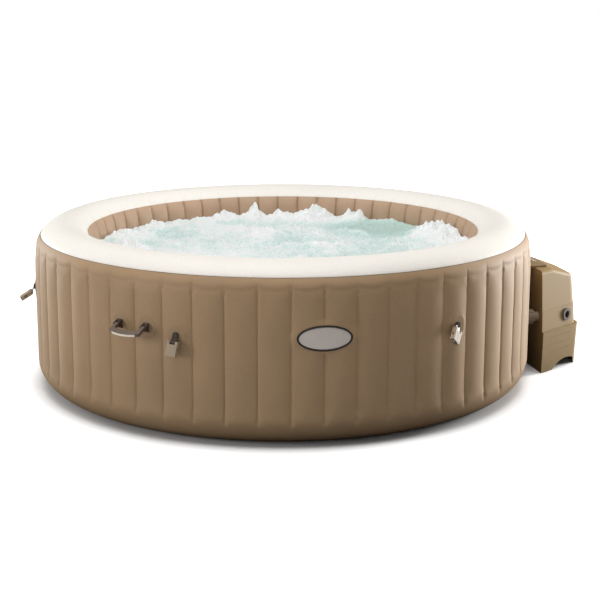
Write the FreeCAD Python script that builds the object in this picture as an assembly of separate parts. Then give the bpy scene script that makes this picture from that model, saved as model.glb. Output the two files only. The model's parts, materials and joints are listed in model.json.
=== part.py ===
"""Inflatable hot tub with its control unit.

A ring of PVC skins is blown up over a flat bottom sheet: an outer wall, a crowned top panel and an
inner wall, held to shape by radial webs.  Three pipes cross the ring to a control unit that heats,
filters and blows the water.  Two bail handles and six cover buckles hang on patches on the wall.

Frame: millimetres, +Z up, origin on the tub's axis at the ground.  The front of the tub faces -Y.
Azimuths are in degrees from the front, towards +X.  Everything on the wall is drawn at the front,
on the crest of a lobe, with X along the wall and -Y away from it, and is then turned about Z to its
azimuth.  Places round the tub are counted in ribs, so 2 is the second rib and 2.5 the lobe after it.
"""
import FreeCAD
import Part
import math
import os

V = FreeCAD.Vector
X_AXIS, Z_AXIS = V(1, 0, 0), V(0, 0, 1)
OUTWARD = V(0, -1, 0)

# Tub ring
TUB_RADIUS = 1080.0
TUB_HEIGHT = 710.0
RING_WIDTH = 262.0
FOOT_RADIUS = 120.0
SKIN = 1.2
SHEET = 2.0
RIB_COUNT = 54
RIB_PHASE = 5.0 / 3
RIB_DEPTH = 9.0
SHOULDER_PROUD = 1.0
WEB_THICKNESS = 0.8
BEND_STEP = 10.0
OUTER_SEAM_ANGLE = 36.7
INNER_SEAM_ANGLE = 140.4
AIR_STRIP_WIDTH = 46.0
AIR_STRIP_HEIGHT = 38.0

# Badge
BADGE_RIB = 1
BADGE_WIDTH, BADGE_HEIGHT, BADGE_THICKNESS = 212.0, 100.0, 1.6
BADGE_RIM, BADGE_RIM_STEP = 8.0, 1.2
BADGE_Z = 432.0

# Bail handles
HANDLE_RIBS = (-5, 22)
HANDLE_Z = 445.0
HANDLE_DROOP = 27.0
HANDLE_PIVOT_OUT = 20.0
HANDLE_REACH, HANDLE_BOW = 40.0, 12.0
HANDLE_ARM, HANDLE_BAR, HANDLE_THICKNESS = 14.0, 17.0, 13.0
HANDLE_PIN_RADIUS, HANDLE_CHEEK, HANDLE_BRACKET_HEIGHT = 3.0, 5.0, 36.0
HANDLE_PATCH_RADIUS = 38.0
STRIP_THICKNESS = 2.0

# Cover buckles
BUCKLE_FIRST_RIB, BUCKLE_COUNT = -3.5, 6
BUCKLE_Z = 428.0
BUCKLE_SWIVELS = (6.0, 46.0, 0.0, -4.0, 5.0, 0.0)
BUCKLE_FLIPS = (14.0, 22.0, 6.0, 8.0, 4.0, 58.0)
BUCKLE_PATCH_RADIUS = 35.0
STUD_RADIUS, STUD_HEAD_RADIUS, STUD_HEAD = 6.0, 9.5, 2.5
LINK_RADIUS, LINK_THICKNESS, LINK_WIDTH = 13.0, 4.0, 22.0
LINK_LENGTH, LINK_SLANT = 30.0, 32.0
BUCKLE_PIN_RADIUS, BARREL_RADIUS = 2.0, 5.0
SOCKET_WIDTH, SOCKET_LENGTH, SOCKET_THICKNESS = 44.0, 52.0, 20.0
MOUTH_WIDTH, MOUTH_HEIGHT, MOUTH_DEPTH = 32.0, 12.0, 40.0

# Patches on the wall, and running fits
PATCH_THICKNESS, BOSS_THICKNESS, BOSS_RADIUS = 2.0, 1.6, 22.0
PIN_PLAY = 0.06
LOOSE = 0.4
SIDE_PLAY = 0.5

# Pipes through the ring
PIPE_BORE, PIPE_WALL = 19.0, 4.0
FLANGE_RADIUS, FLANGE_THICKNESS = 40.0, 5.0
PORT_REACH = 20.0
NUT_RADIUS, NUT_CLEARANCE, NUT_GAP = 34.0, 0.4, 1.0
NUT_GRIPS, NUT_GRIP_RADIUS, NUT_TO_UNIT = 8, 4.0, 3.0
SEAL_THICKNESS = 2.0
WATER_PORT_Z, AIR_PORT_Z = 245.0, 330.0

# Filter inside the tub
FILTER_RADIUS, FILTER_HEIGHT, FILTER_WALL = 60.0, 150.0, 3.0
FILTER_GAP = 6.0
FILTER_SLOT_COUNT, FILTER_SLOT_STEP, FILTER_SLOT_WIDTH = 7, 20.0, 6.0
CARTRIDGE_RADIUS, CARTRIDGE_BORE, CARTRIDGE_HEIGHT = 53.0, 24.0, 108.0
FILTER_LID_OVERHANG, FILTER_LID_HEIGHT, FILTER_SPIGOT, FILTER_GRIP = 3.0, 16.0, 8.0, 10.0

# Return grille inside the tub
GRILLE_RADIUS, GRILLE_THICKNESS = 36.0, 8.0
GRILLE_SLOT_COUNT, GRILLE_SLOT_PITCH, GRILLE_SLOT_WIDTH, GRILLE_SLOT_LENGTH = 5, 10.0, 5.0, 44.0

# Drain and inflation valve
DRAIN_RIB, DRAIN_Z = 27.5, 152.0
DRAIN_BORE, DRAIN_WALL = 11.0, 3.0
SMALL_FLANGE = 3.0
DRAIN_CAP_RADIUS, DRAIN_CAP_SKIRT, DRAIN_CAP_TOP = 20.0, 14.0, 4.0
DRAIN_CAP_NOTCHES, DRAIN_CAP_NOTCH_RADIUS = 10, 2.0
VALVE_RIB, VALVE_Z = 18.5, 440.0
VALVE_FLANGE_RADIUS, VALVE_NECK_RADIUS, VALVE_BORE = 26.0, 15.0, 10.0
VALVE_NECK_OUT, VALVE_NECK_IN, VALVE_LID = 9.0, 24.0, 5.0
VALVE_LID_OVERHANG, VALVE_STOPPER = 2.0, 3.0
VALVE_HINGE_UP, VALVE_HINGE_OUT = 7.0, 12.0
VALVE_KNUCKLE_RADIUS, VALVE_KNUCKLE_WIDTH, VALVE_PIN_RADIUS, VALVE_EAR = 3.5, 10.0, 1.5, 5.0

# Control unit
UNIT_RIB = 15
UNIT_GAP = 46.0
UNIT_WIDTH, UNIT_OUTER_WIDTH, UNIT_DEPTH = 562.0, 246.0, 236.0
UNIT_WALL, UNIT_ROOF = 3.0, 12.0
UNIT_CORNER = 62.0
BASE_TOP, BODY_TOP = 188.0, 281.0
RIDGE_Z, OUTER_TOP_Z, RIDGE_DEPTH = 460.0, 402.0, 62.0
BASE_FOOT_INSET, LEDGE, BODY_DRAFT, COVER_STEP, COVER_DRAFT = 8.0, 13.0, 6.0, 1.5, 19.0
TOP_EDGE_RADIUS = 20.0
FOOT_LENGTH, ARCH_HEIGHT, ARCH_SHOULDER, FAR_FOOT = 86.0, 30.0, 8.0, 22.0
GROOVE_COUNT, GROOVE_PITCH, GROOVE_WIDTH, GROOVE_DEPTH, GROOVE_Z = 3, 34.0, 4.0, 1.2, 88.0
PANEL_DEPTH, PANEL_WIDTH, PANEL_THICKNESS, PANEL_OVERHANG = 78.0, 300.0, 8.0, 18.0
PANEL_CORNER = 10.0
BUTTON_COUNT, BUTTON_RADIUS, BUTTON_PITCH, BUTTON_TRAVEL = 4, 10.0, 34.0, 1.5
BUTTON_FLOOR, BUTTON_PLAY, BUTTON_PROUD = 1.5, 0.3, 2.3
BUTTON_ROW, WINDOW_ROW = 0.68, 0.3
WINDOW_WIDTH, WINDOW_DEPTH, WINDOW_THICKNESS = 70.0, 26.0, 2.5
HOSE_PORT_Z, HOSE_PORT_ALONG = 240.0, 196.0
HOSE_PORT_RADIUS, HOSE_PORT_SLEEVE, HOSE_PORT_WALL = 28.0, 19.0, 2.5
HOSE_PORT_PROUD, HOSE_PORT_INSIDE, HOSE_PORT_SEAT = 8.0, 22.0, 2.0
GLAND_RADIUS, GLAND_BORE, GLAND_LENGTH, GLAND_SOCKET, GLAND_Z = 11.0, 4.5, 14.0, 10.0, 112.8

# Equipment inside the unit
TRAY_Z, TRAY_THICKNESS = 48.0, 4.0
PUMP_X, PUMP_FROM_FACE, PUMP_RISE = -15.0, 66.0, 62.0
PUMP_RADIUS, PUMP_LENGTH, PUMP_FOOT_WIDTH, PUMP_FOOT_LENGTH = 38.0, 110.0, 56.0, 80.0
VOLUTE_RADIUS, VOLUTE_LENGTH, VOLUTE_SUCTION_RISE = 48.0, 35.0, 22.0
HEATER_X, HEATER_FROM_FACE, HEATER_RISE = -70.0, 165.0, 44.0
HEATER_RADIUS, HEATER_LENGTH, HEATER_SADDLE, HEATER_SADDLE_INSET = 30.0, 130.0, 16.0, 17.0
BLOWER_RADIUS, BLOWER_HEIGHT, BLOWER_FROM_STUB = 44.0, 100.0, 48.0
BOARD_WIDTH, BOARD_DEPTH, BOARD_HEIGHT, BOARD_LIFT = 120.0, 46.0, 100.0, 24.0
HOSE_RADIUS, HOSE_BORE, HOSE_RUN = 21.0, 18.0, 28.0

# Worked out from the sizes above
PITCH = 360.0 / RIB_COUNT
CAP_RADIUS = RING_WIDTH / 2
RING_CENTRE = TUB_RADIUS + SHOULDER_PROUD - CAP_RADIUS
INNER_RADIUS = RING_CENTRE - CAP_RADIUS
CAP_Z = TUB_HEIGHT - CAP_RADIUS
FOOT_Z = SHEET + FOOT_RADIUS
UNIT_FACE = TUB_RADIUS + UNIT_GAP
UNIT_TAPER = math.atan2((UNIT_WIDTH - UNIT_OUTER_WIDTH) / 2, UNIT_DEPTH)
HALF_PITCH = PITCH / 2
UNIT_AZIMUTH = RIB_PHASE + UNIT_RIB * PITCH
RIB_RADIUS = TUB_RADIUS - RIB_DEPTH
LOBE_CENTRE = (TUB_RADIUS ** 2 - RIB_RADIUS ** 2) / 2 / (
    TUB_RADIUS - RIB_RADIUS * math.cos(math.radians(HALF_PITCH)))
LOBE_RADIUS = TUB_RADIUS - LOBE_CENTRE


def save(node, *solids):
    shape = solids[0] if len(solids) == 1 else Part.makeCompound(list(solids))
    shape.exportStep("parts/%s.step" % node)


def box(x0, x1, y0, y1, z0, z1):
    return Part.makeBox(x1 - x0, y1 - y0, z1 - z0, V(x0, y0, z0))


def rod(radius, start, end):
    start, end = V(*start), V(*end)
    return Part.makeCylinder(radius, (end - start).Length, start, end - start)


def turned(shape, azimuth):
    copy = shape.copy()
    copy.rotate(V(0, 0, 0), Z_AXIS, azimuth)
    return copy


def swung(shape, pivot, axis, degrees):
    copy = shape.copy()
    copy.rotate(pivot, axis, degrees)
    return copy


def line(p, q):
    return Part.LineSegment(V(*p), V(*q)).toShape()


def revolved(edges):
    face = Part.Face(Part.Wire(Part.__sortEdges__(edges)))
    return face.revolve(V(0, 0, 0), Z_AXIS, 360)


def bend(centre, radius, start, end):
    """A round stretch of the ring's section, from one angle to another, in short straight edges."""
    count = math.ceil(abs(end - start) / BEND_STEP)
    points = []
    for k in range(count + 1):
        a = math.radians(start + (end - start) * k / count)
        points.append(V(centre[0] + radius * math.cos(a), 0, centre[1] + radius * math.sin(a)))
    return [line(p, q) for p, q in zip(points, points[1:])]


def skin_ring(outside, inside):
    """A skin of revolution between two lists of edges that run side by side, closed at both ends."""
    def ends(edges):
        wire = Part.Wire(Part.__sortEdges__(edges))
        points = [v.Point for v in wire.OrderedVertexes]
        return points[0], points[-1]
    a, b = ends(outside)
    c, d = ends(inside)
    if a.distanceToPoint(c) > a.distanceToPoint(d):
        c, d = d, c
    return revolved(outside + inside + [line(a, c), line(b, d)])


def column(radius):
    return Part.makeCylinder(radius, TUB_HEIGHT)


def rib_azimuth(place):
    return RIB_PHASE + place * PITCH


def lobe(inset=0.0):
    """The round column that one lobe of the wall is part of, with its crest at the front."""
    return Part.makeCylinder(LOBE_RADIUS - inset, TUB_HEIGHT, V(0, -LOBE_CENTRE, 0))


def lobes_by_rib(inset=0.0):
    """The two lobes on either side of a rib that stands at the front."""
    return turned(lobe(inset), HALF_PITCH).fuse(turned(lobe(inset), -HALF_PITCH))


def outside_wall(shape):
    """What of a shape drawn on the crest of a lobe lies outside the outer skin."""
    return shape.cut(lobe())


def inside_wall(shape):
    """What of a shape lies inside the ring's inner skin."""
    return shape.common(column(INNER_RADIUS))


# ---------------------------------------------------------------- ring


def ring_side(radius, sign, seam_angle):
    """One side of the ring's section: from its seam over the shoulder, down and under to the sheet."""
    side_x = RING_CENTRE + sign * radius
    foot_radius = FOOT_RADIUS - (CAP_RADIUS - radius)
    foot_x = side_x - sign * foot_radius
    side_angle, under_angle = (0, -90) if sign > 0 else (180, 270)
    return [
        *bend((RING_CENTRE, CAP_Z), radius, seam_angle, side_angle),
        line((side_x, 0, CAP_Z), (side_x, 0, FOOT_Z)),
        *bend((foot_x, FOOT_Z), foot_radius, side_angle, under_angle),
        line((foot_x, 0, FOOT_Z - foot_radius), (RING_CENTRE, 0, FOOT_Z - foot_radius)),
    ]


def pipe_holes():
    """The rods that the walls are pierced with."""
    cuts = [turned(rod(PIPE_BORE + PIPE_WALL, (0, 0, z), (0, -UNIT_FACE, z)), azimuth)
            for azimuth, z in port_places()]
    drain = rod(DRAIN_BORE + DRAIN_WALL, (0, 0, DRAIN_Z), (0, -UNIT_FACE, DRAIN_Z))
    return cuts + [turned(drain, rib_azimuth(DRAIN_RIB))]


def port_places():
    """Suction, return and air, each in the middle of a lobe of the wall."""
    return [(rib_azimuth(UNIT_RIB + place), z)
            for place, z in ((-1.5, WATER_PORT_Z), (1.5, WATER_PORT_Z), (0.5, AIR_PORT_Z))]


def lobed_column(inset):
    """All the lobes round the tub as one column, scalloped at the ribs."""
    half = math.radians(HALF_PITCH)
    lobe_radius = LOBE_RADIUS - inset
    rib = LOBE_CENTRE * math.cos(half) + math.sqrt(lobe_radius ** 2 - (LOBE_CENTRE * math.sin(half)) ** 2)
    scallop = Part.Arc(V(-rib * math.sin(half), -rib * math.cos(half), 0),
                       V(0, -LOBE_CENTRE - lobe_radius, 0),
                       V(rib * math.sin(half), -rib * math.cos(half), 0)).toShape()
    plan = [turned(scallop, rib_azimuth(k + 0.5)) for k in range(RIB_COUNT)]
    return Part.Face(Part.Wire(plan)).extrude(V(0, 0, TUB_HEIGHT))


def under_outer_wall(inset):
    """The space under the outer wall, drawn in by inset: round above and below, lobed in between."""
    side = ring_side(CAP_RADIUS - inset, 1, OUTER_SEAM_ANGLE)
    seam, foot = side[0].valueAt(side[0].FirstParameter), side[-1].valueAt(side[-1].LastParameter)
    centre = V(RING_CENTRE, 0, CAP_Z)
    return revolved(side + [line(seam, centre), line(centre, foot)]).common(lobed_column(inset))


def make_outer_wall():
    """The outer skin: pulled in at each rib by its web, and bulging into a lobe between them."""
    valve = rod(VALVE_NECK_RADIUS, (0, -INNER_RADIUS, VALVE_Z), (0, -UNIT_FACE, VALVE_Z))
    wall = under_outer_wall(0.0).cut(under_outer_wall(SKIN))
    return wall.cut(pipe_holes() + [turned(valve, rib_azimuth(VALVE_RIB))])


def make_inner_wall():
    wall = skin_ring(ring_side(CAP_RADIUS, -1, INNER_SEAM_ANGLE),
                     ring_side(CAP_RADIUS - SKIN, -1, INNER_SEAM_ANGLE))
    return wall.cut(pipe_holes())


def make_top_panel():
    return skin_ring(bend((RING_CENTRE, CAP_Z), CAP_RADIUS, OUTER_SEAM_ANGLE, INNER_SEAM_ANGLE),
                     bend((RING_CENTRE, CAP_Z), CAP_RADIUS - SKIN, OUTER_SEAM_ANGLE, INNER_SEAM_ANGLE))


def make_bottom_sheet():
    return Part.makeCylinder(TUB_RADIUS - FOOT_RADIUS, SHEET)


def make_webs():
    """The radial webs that tie the two walls, one behind each rib of the wall."""
    half = WEB_THICKNESS / 2
    blank = box(-half, half, -TUB_RADIUS, -INNER_RADIUS / 2, FOOT_Z, CAP_Z)
    web = blank.common(lobes_by_rib(SKIN)).cut(column(INNER_RADIUS + SKIN))
    return [turned(web, rib_azimuth(k)) for k in range(RIB_COUNT)]


def make_air_strip():
    """The strip that closes off the bubble channel at the foot of the inner wall."""
    inner_foot = INNER_RADIUS + FOOT_RADIUS
    top_z = SHEET + AIR_STRIP_HEIGHT
    foot = inner_foot - math.sqrt(FOOT_RADIUS ** 2 - (FOOT_Z - top_z) ** 2)
    inner = foot - AIR_STRIP_WIDTH
    crest_x, crest_z = inner + AIR_STRIP_WIDTH * 0.4, top_z * 0.8
    section = [(foot + 4, 0, top_z), (foot, 0, top_z), (crest_x, 0, crest_z), (inner, 0, SHEET),
               (inner + 2 * SKIN, 0, SHEET), (crest_x + SKIN, 0, crest_z - 2 * SKIN),
               (foot + 4, 0, top_z - 2 * SKIN)]
    strip = revolved([line(p, q) for p, q in zip(section, section[1:] + section[:1])])
    corner = [line((inner_foot, 0, FOOT_Z), (INNER_RADIUS, 0, FOOT_Z)),
              line((inner_foot, 0, FOOT_Z), (inner_foot, 0, SHEET))]
    return strip.cut(revolved(bend((inner_foot, FOOT_Z), FOOT_RADIUS, 180, 270) + corner))


def oval(width, height, thickness, y):
    ellipse = Part.Ellipse(V(0, 0, 0), width / 2, height / 2).toShape()
    face = Part.Face(Part.Wire([ellipse]))
    face.rotate(V(0, 0, 0), X_AXIS, 90)
    face.translate(V(0, y, BADGE_Z))
    return face.extrude(V(0, -thickness, 0))


def make_badge():
    """A bare oval plate with a raised rim, bent round the tub and padded out over the rib behind it."""
    depth = BADGE_WIDTH ** 2 / (8 * TUB_RADIUS)
    back = -TUB_RADIUS + 2 * (depth + RIB_DEPTH)
    reach = 4 * (depth + RIB_DEPTH)
    field_outline = oval(BADGE_WIDTH - 2 * BADGE_RIM, BADGE_HEIGHT - 2 * BADGE_RIM, reach, back)
    rim_outline = oval(BADGE_WIDTH, BADGE_HEIGHT, reach, back).cut(field_outline)
    plate = field_outline.common(column(TUB_RADIUS + BADGE_THICKNESS))
    rim = rim_outline.common(column(TUB_RADIUS + BADGE_THICKNESS + BADGE_RIM_STEP))
    return [turned(p.cut(lobes_by_rib()), rib_azimuth(BADGE_RIB)) for p in (plate, rim)]


# ---------------------------------------------------------------- patches, handles, buckles


def wall_patch(radius, z):
    """A round patch welded to the wall, with a raised boss."""
    back = -(TUB_RADIUS - radius ** 2 / LOBE_RADIUS)
    disc = rod(radius, (0, back, z), (0, -TUB_RADIUS - PATCH_THICKNESS, z))
    boss = rod(BOSS_RADIUS, (0, back, z), (0, -patch_face(), z))
    return outside_wall(disc.fuse(boss))


def patch_face():
    return TUB_RADIUS + PATCH_THICKNESS + BOSS_THICKNESS


def handle_half_span():
    return TUB_RADIUS * math.sin(math.radians(HALF_PITCH))


def handle_pivot():
    return V(0, -(patch_face() + HANDLE_PIVOT_OUT), HANDLE_Z)


def make_handle_bracket(side):
    """A clevis on its patch: two cheeks either side of the bail's arm, and a web behind it."""
    x = side * handle_half_span()
    slot = HANDLE_ARM / 2 + SIDE_PLAY
    cheek = slot + HANDLE_CHEEK
    face = -patch_face()
    pivot = handle_pivot()
    half = HANDLE_BRACKET_HEIGHT / 2
    nose = HANDLE_THICKNESS / 2 + 2
    root_top, root_bottom = V(0, face, HANDLE_Z + half), V(0, face, HANDLE_Z - half)
    nose_top, nose_bottom = V(0, pivot.y, HANDLE_Z + nose), V(0, pivot.y, HANDLE_Z - nose)
    outline = Part.Wire([
        line(root_bottom, root_top),
        line(root_top, nose_top),
        Part.Arc(nose_top, V(0, pivot.y - nose, HANDLE_Z), nose_bottom).toShape(),
        line(nose_bottom, root_bottom)])
    block = Part.Face(outline).extrude(V(2 * cheek, 0, 0))
    block.translate(V(x - cheek, 0, 0))
    reach = HANDLE_THICKNESS
    slot_box = box(x - slot, x + slot, pivot.y - 2 * reach, pivot.y + reach * 0.85,
                   HANDLE_Z - 2 * half, HANDLE_Z + 2 * half)
    hole = rod(HANDLE_PIN_RADIUS, (x - 2 * cheek, pivot.y, HANDLE_Z), (x + 2 * cheek, pivot.y, HANDLE_Z))
    return block.cut([slot_box, hole])


def make_handle_pin(side):
    x = side * handle_half_span()
    reach = HANDLE_ARM / 2 + SIDE_PLAY + HANDLE_CHEEK
    pivot = handle_pivot()
    return rod(HANDLE_PIN_RADIUS, (x - reach, pivot.y, HANDLE_Z), (x + reach, pivot.y, HANDLE_Z))


def bow(y, half_span, rise):
    return Part.Arc(V(-half_span, y, 0), V(0, y - rise, 0), V(half_span, y, 0)).toShape()


def make_bail():
    """A bail with two straight arms and a bowed grip, and the strip along the grip's front."""
    pivot = handle_pivot()
    span = handle_half_span()
    out_x, in_x = span + HANDLE_ARM / 2, span - HANDLE_ARM / 2
    root, knee = pivot.y, pivot.y - HANDLE_REACH
    inner_knee = knee + HANDLE_BAR
    tip = HANDLE_ARM / 2
    outline = Part.Wire(Part.__sortEdges__([
        bow(knee, out_x, HANDLE_BOW),
        line((out_x, knee, 0), (out_x, root, 0)),
        Part.Arc(V(out_x, root, 0), V(span, root + tip, 0), V(in_x, root, 0)).toShape(),
        line((in_x, root, 0), (in_x, inner_knee, 0)),
        bow(inner_knee, in_x, HANDLE_BOW * (in_x / out_x) ** 2),
        line((-in_x, inner_knee, 0), (-in_x, root, 0)),
        Part.Arc(V(-in_x, root, 0), V(-span, root + tip, 0), V(-out_x, root, 0)).toShape(),
        line((-out_x, root, 0), (-out_x, knee, 0))]))
    half = HANDLE_THICKNESS / 2
    bail = Part.Face(outline).extrude(V(0, 0, HANDLE_THICKNESS))
    bail.translate(V(0, 0, HANDLE_Z - half))
    corners = [e for e in bail.Edges
               if abs(e.Vertexes[0].Point.y - knee) < 0.01 and abs(e.Vertexes[-1].Point.y - knee) < 0.01
               and e.BoundBox.ZLength > half]
    bail = bail.makeFillet(HANDLE_ARM * 0.45, corners)
    holes = [rod(HANDLE_PIN_RADIUS + PIN_PLAY, (x - tip * 2, root, HANDLE_Z), (x + tip * 2, root, HANDLE_Z))
             for x in (-span, span)]
    strip_half = span * 0.86
    rise = HANDLE_BOW * (strip_half / out_x) ** 2
    front = knee - HANDLE_BOW + rise
    strip_outline = Part.Wire(Part.__sortEdges__([
        bow(front - STRIP_THICKNESS, strip_half, rise),
        line((strip_half, front - STRIP_THICKNESS, 0), (strip_half, front + STRIP_THICKNESS, 0)),
        bow(front + STRIP_THICKNESS, strip_half, rise),
        line((-strip_half, front + STRIP_THICKNESS, 0), (-strip_half, front - STRIP_THICKNESS, 0))]))
    strip = Part.Face(strip_outline).extrude(V(0, 0, HANDLE_THICKNESS - 4))
    strip.translate(V(0, 0, HANDLE_Z - half + 2))
    parts = [bail.cut(holes + [strip]), strip]
    return [swung(p, pivot, X_AXIS, HANDLE_DROOP) for p in parts]


def buckle_pin_centre():
    """The cross pin that the socket swings on, with the link hanging straight down."""
    slant = math.radians(LINK_SLANT)
    y = -(patch_face() + SIDE_PLAY + LINK_THICKNESS / 2 + LINK_LENGTH * math.sin(slant))
    return V(0, y, BUCKLE_Z - LINK_LENGTH * math.cos(slant))


def make_stud():
    base = -patch_face()
    neck_end = base - LINK_THICKNESS - 2 * SIDE_PLAY
    neck = rod(STUD_RADIUS, (0, base, BUCKLE_Z), (0, neck_end, BUCKLE_Z))
    head = rod(STUD_HEAD_RADIUS, (0, neck_end, BUCKLE_Z), (0, neck_end - STUD_HEAD, BUCKLE_Z))
    return neck.fuse(head)


def make_link():
    """The link between stud and socket: a swivelling ring, a slanting strap, a knuckle and its pin."""
    back = -(patch_face() + SIDE_PLAY)
    pin = buckle_pin_centre()
    ring = rod(LINK_RADIUS, (0, back, BUCKLE_Z), (0, back - LINK_THICKNESS, BUCKLE_Z))
    half = LINK_WIDTH / 2
    strap = box(-half, half, -LINK_THICKNESS / 2, LINK_THICKNESS / 2, -LINK_LENGTH, -LINK_RADIUS * 0.3)
    strap.rotate(V(0, 0, 0), X_AXIS, -LINK_SLANT)
    strap.translate(V(0, back - LINK_THICKNESS / 2, BUCKLE_Z))
    barrel = rod(BARREL_RADIUS, (-half, pin.y, pin.z), (half, pin.y, pin.z))
    clear_head = rod(STUD_HEAD_RADIUS + SIDE_PLAY, (0, back - LINK_THICKNESS, BUCKLE_Z),
                     (0, back - LINK_LENGTH, BUCKLE_Z))
    behind = box(-LINK_LENGTH, LINK_LENGTH, back, back + LINK_LENGTH, pin.z, BUCKLE_Z + LINK_LENGTH)
    stud_hole = rod(STUD_RADIUS + PIN_PLAY, (0, back + 1, BUCKLE_Z), (0, back - LINK_LENGTH, BUCKLE_Z))
    half = SOCKET_WIDTH / 2 - 1
    cross_pin = rod(BUCKLE_PIN_RADIUS, (-half, pin.y, pin.z), (half, pin.y, pin.z))
    link = ring.fuse([strap, barrel]).cut([clear_head, behind, stud_hole])
    return link.fuse(cross_pin).removeSplitter()


def make_socket():
    """The buckle's box: two ears round the link's knuckle, and a mouth below for the strap's tongue."""
    pin = buckle_pin_centre()
    half_w, half_t = SOCKET_WIDTH / 2, SOCKET_THICKNESS / 2
    top = pin.z + BARREL_RADIUS + 1
    bottom = top - SOCKET_LENGTH - BARREL_RADIUS
    body = box(-half_w, half_w, pin.y - half_t, pin.y + half_t, bottom, top)
    upright = [e for e in body.Edges if e.BoundBox.ZLength > SOCKET_LENGTH / 2]
    body = body.makeFillet(3.0, upright)
    half_slot = LINK_WIDTH / 2 + SIDE_PLAY
    slot = box(-half_slot, half_slot, pin.y - 2 * half_t, pin.y + 2 * half_t,
               pin.z - BARREL_RADIUS - 1.5, top + 1)
    mouth = box(-MOUTH_WIDTH / 2, MOUTH_WIDTH / 2, pin.y - MOUTH_HEIGHT / 2, pin.y + MOUTH_HEIGHT / 2,
                bottom - 1, bottom + MOUTH_DEPTH)
    window_z = bottom + MOUTH_DEPTH * 0.62
    windows = box(-2 * half_w, 2 * half_w, pin.y - MOUTH_HEIGHT * 0.3, pin.y + MOUTH_HEIGHT * 0.3,
                  window_z - 6, window_z + 6)
    hole = rod(BUCKLE_PIN_RADIUS + PIN_PLAY, (-2 * half_w, pin.y, pin.z), (2 * half_w, pin.y, pin.z))
    return body.cut([slot, mouth, windows, hole])


def placed_buckle(shape, k, flips):
    """Turns a piece of buckle k to the way it hangs: flipped on its pin, swivelled, then round the tub."""
    moved = shape
    if flips:
        moved = swung(moved, buckle_pin_centre(), X_AXIS, -BUCKLE_FLIPS[k])
    moved = swung(moved, V(0, 0, BUCKLE_Z), OUTWARD, -BUCKLE_SWIVELS[k])
    return turned(moved, buckle_azimuth(k))


def buckle_azimuth(k):
    return rib_azimuth(BUCKLE_FIRST_RIB) + k * 360.0 / BUCKLE_COUNT


# ---------------------------------------------------------------- pipes, filter, drain, valve


def make_port(azimuth, z):
    """A pipe through the ring with a flange on the water side and a threaded mouth outside."""
    outer = PIPE_BORE + PIPE_WALL
    pipe = rod(outer, (0, -INNER_RADIUS + 2 * FLANGE_THICKNESS, z), (0, -TUB_RADIUS - PORT_REACH, z))
    inner_flange = inside_wall(rod(FLANGE_RADIUS, (0, -INNER_RADIUS + FLANGE_THICKNESS, z),
                                   (0, -INNER_RADIUS - FLANGE_THICKNESS, z)))
    outer_flange = outside_wall(rod(FLANGE_RADIUS, (0, -TUB_RADIUS + FLANGE_THICKNESS, z),
                                    (0, -TUB_RADIUS - FLANGE_THICKNESS, z)))
    bore = rod(PIPE_BORE, (0, 0, z), (0, -UNIT_FACE, z))
    port = pipe.fuse([inner_flange, outer_flange]).cut(bore).removeSplitter()
    return turned(port, azimuth)


def stub_end(azimuth):
    """How far from the tub's axis a stub ends, just inside the unit's wall."""
    return UNIT_FACE / math.cos(math.radians(azimuth - UNIT_AZIMUTH)) + 3 * UNIT_WALL


def make_stub(azimuth, z):
    """The control unit's half of a pipe joint."""
    start = -TUB_RADIUS - PORT_REACH - SEAL_THICKNESS
    stub = rod(PIPE_BORE + PIPE_WALL, (0, start, z), (0, -stub_end(azimuth), z))
    stub = stub.cut(rod(PIPE_BORE, (0, start + 1, z), (0, -stub_end(azimuth) - 1, z)))
    return turned(stub, azimuth)


def make_seal(azimuth, z):
    start = -TUB_RADIUS - PORT_REACH
    seal = rod(PIPE_BORE + PIPE_WALL, (0, start, z), (0, start - SEAL_THICKNESS, z))
    return turned(seal.cut(rod(PIPE_BORE, (0, start + 1, z), (0, start - SEAL_THICKNESS - 1, z))), azimuth)


def make_union_nut(azimuth, z):
    """The ribbed ring nut that pulls the two halves of a pipe joint together."""
    start, end = -TUB_RADIUS - FLANGE_THICKNESS - NUT_GAP, -UNIT_FACE + NUT_TO_UNIT
    nut = rod(NUT_RADIUS, (0, start, z), (0, end, z))
    nut = nut.cut(rod(PIPE_BORE + PIPE_WALL + NUT_CLEARANCE, (0, start + 1, z), (0, end - 1, z)))
    grips = []
    for k in range(NUT_GRIPS):
        a = math.radians(k * 360 / NUT_GRIPS)
        x, zz = NUT_RADIUS * math.sin(a), z + NUT_RADIUS * math.cos(a)
        grips.append(rod(NUT_GRIP_RADIUS, (x, start + 1, zz), (x, end - 1, zz)))
    return turned(nut.cut(grips), azimuth)


def make_return_grille():
    """The slotted cap over the water return inside the tub."""
    azimuth, z = port_places()[1]
    start = -INNER_RADIUS + 2 * FLANGE_THICKNESS
    cap = rod(GRILLE_RADIUS, (0, start, z), (0, start + GRILLE_THICKNESS, z))
    half_length, half_width = GRILLE_SLOT_LENGTH / 2, GRILLE_SLOT_WIDTH / 2
    slots = []
    for k in range(GRILLE_SLOT_COUNT):
        middle = z + (k - (GRILLE_SLOT_COUNT - 1) / 2) * GRILLE_SLOT_PITCH
        slots.append(box(-half_length, half_length, start - 1, start + GRILLE_THICKNESS + 1,
                         middle - half_width, middle + half_width))
    return turned(cap.cut(slots), azimuth)


def filter_axis_y():
    return -(INNER_RADIUS - 2 * FLANGE_THICKNESS - FILTER_RADIUS - FILTER_GAP)


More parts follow.
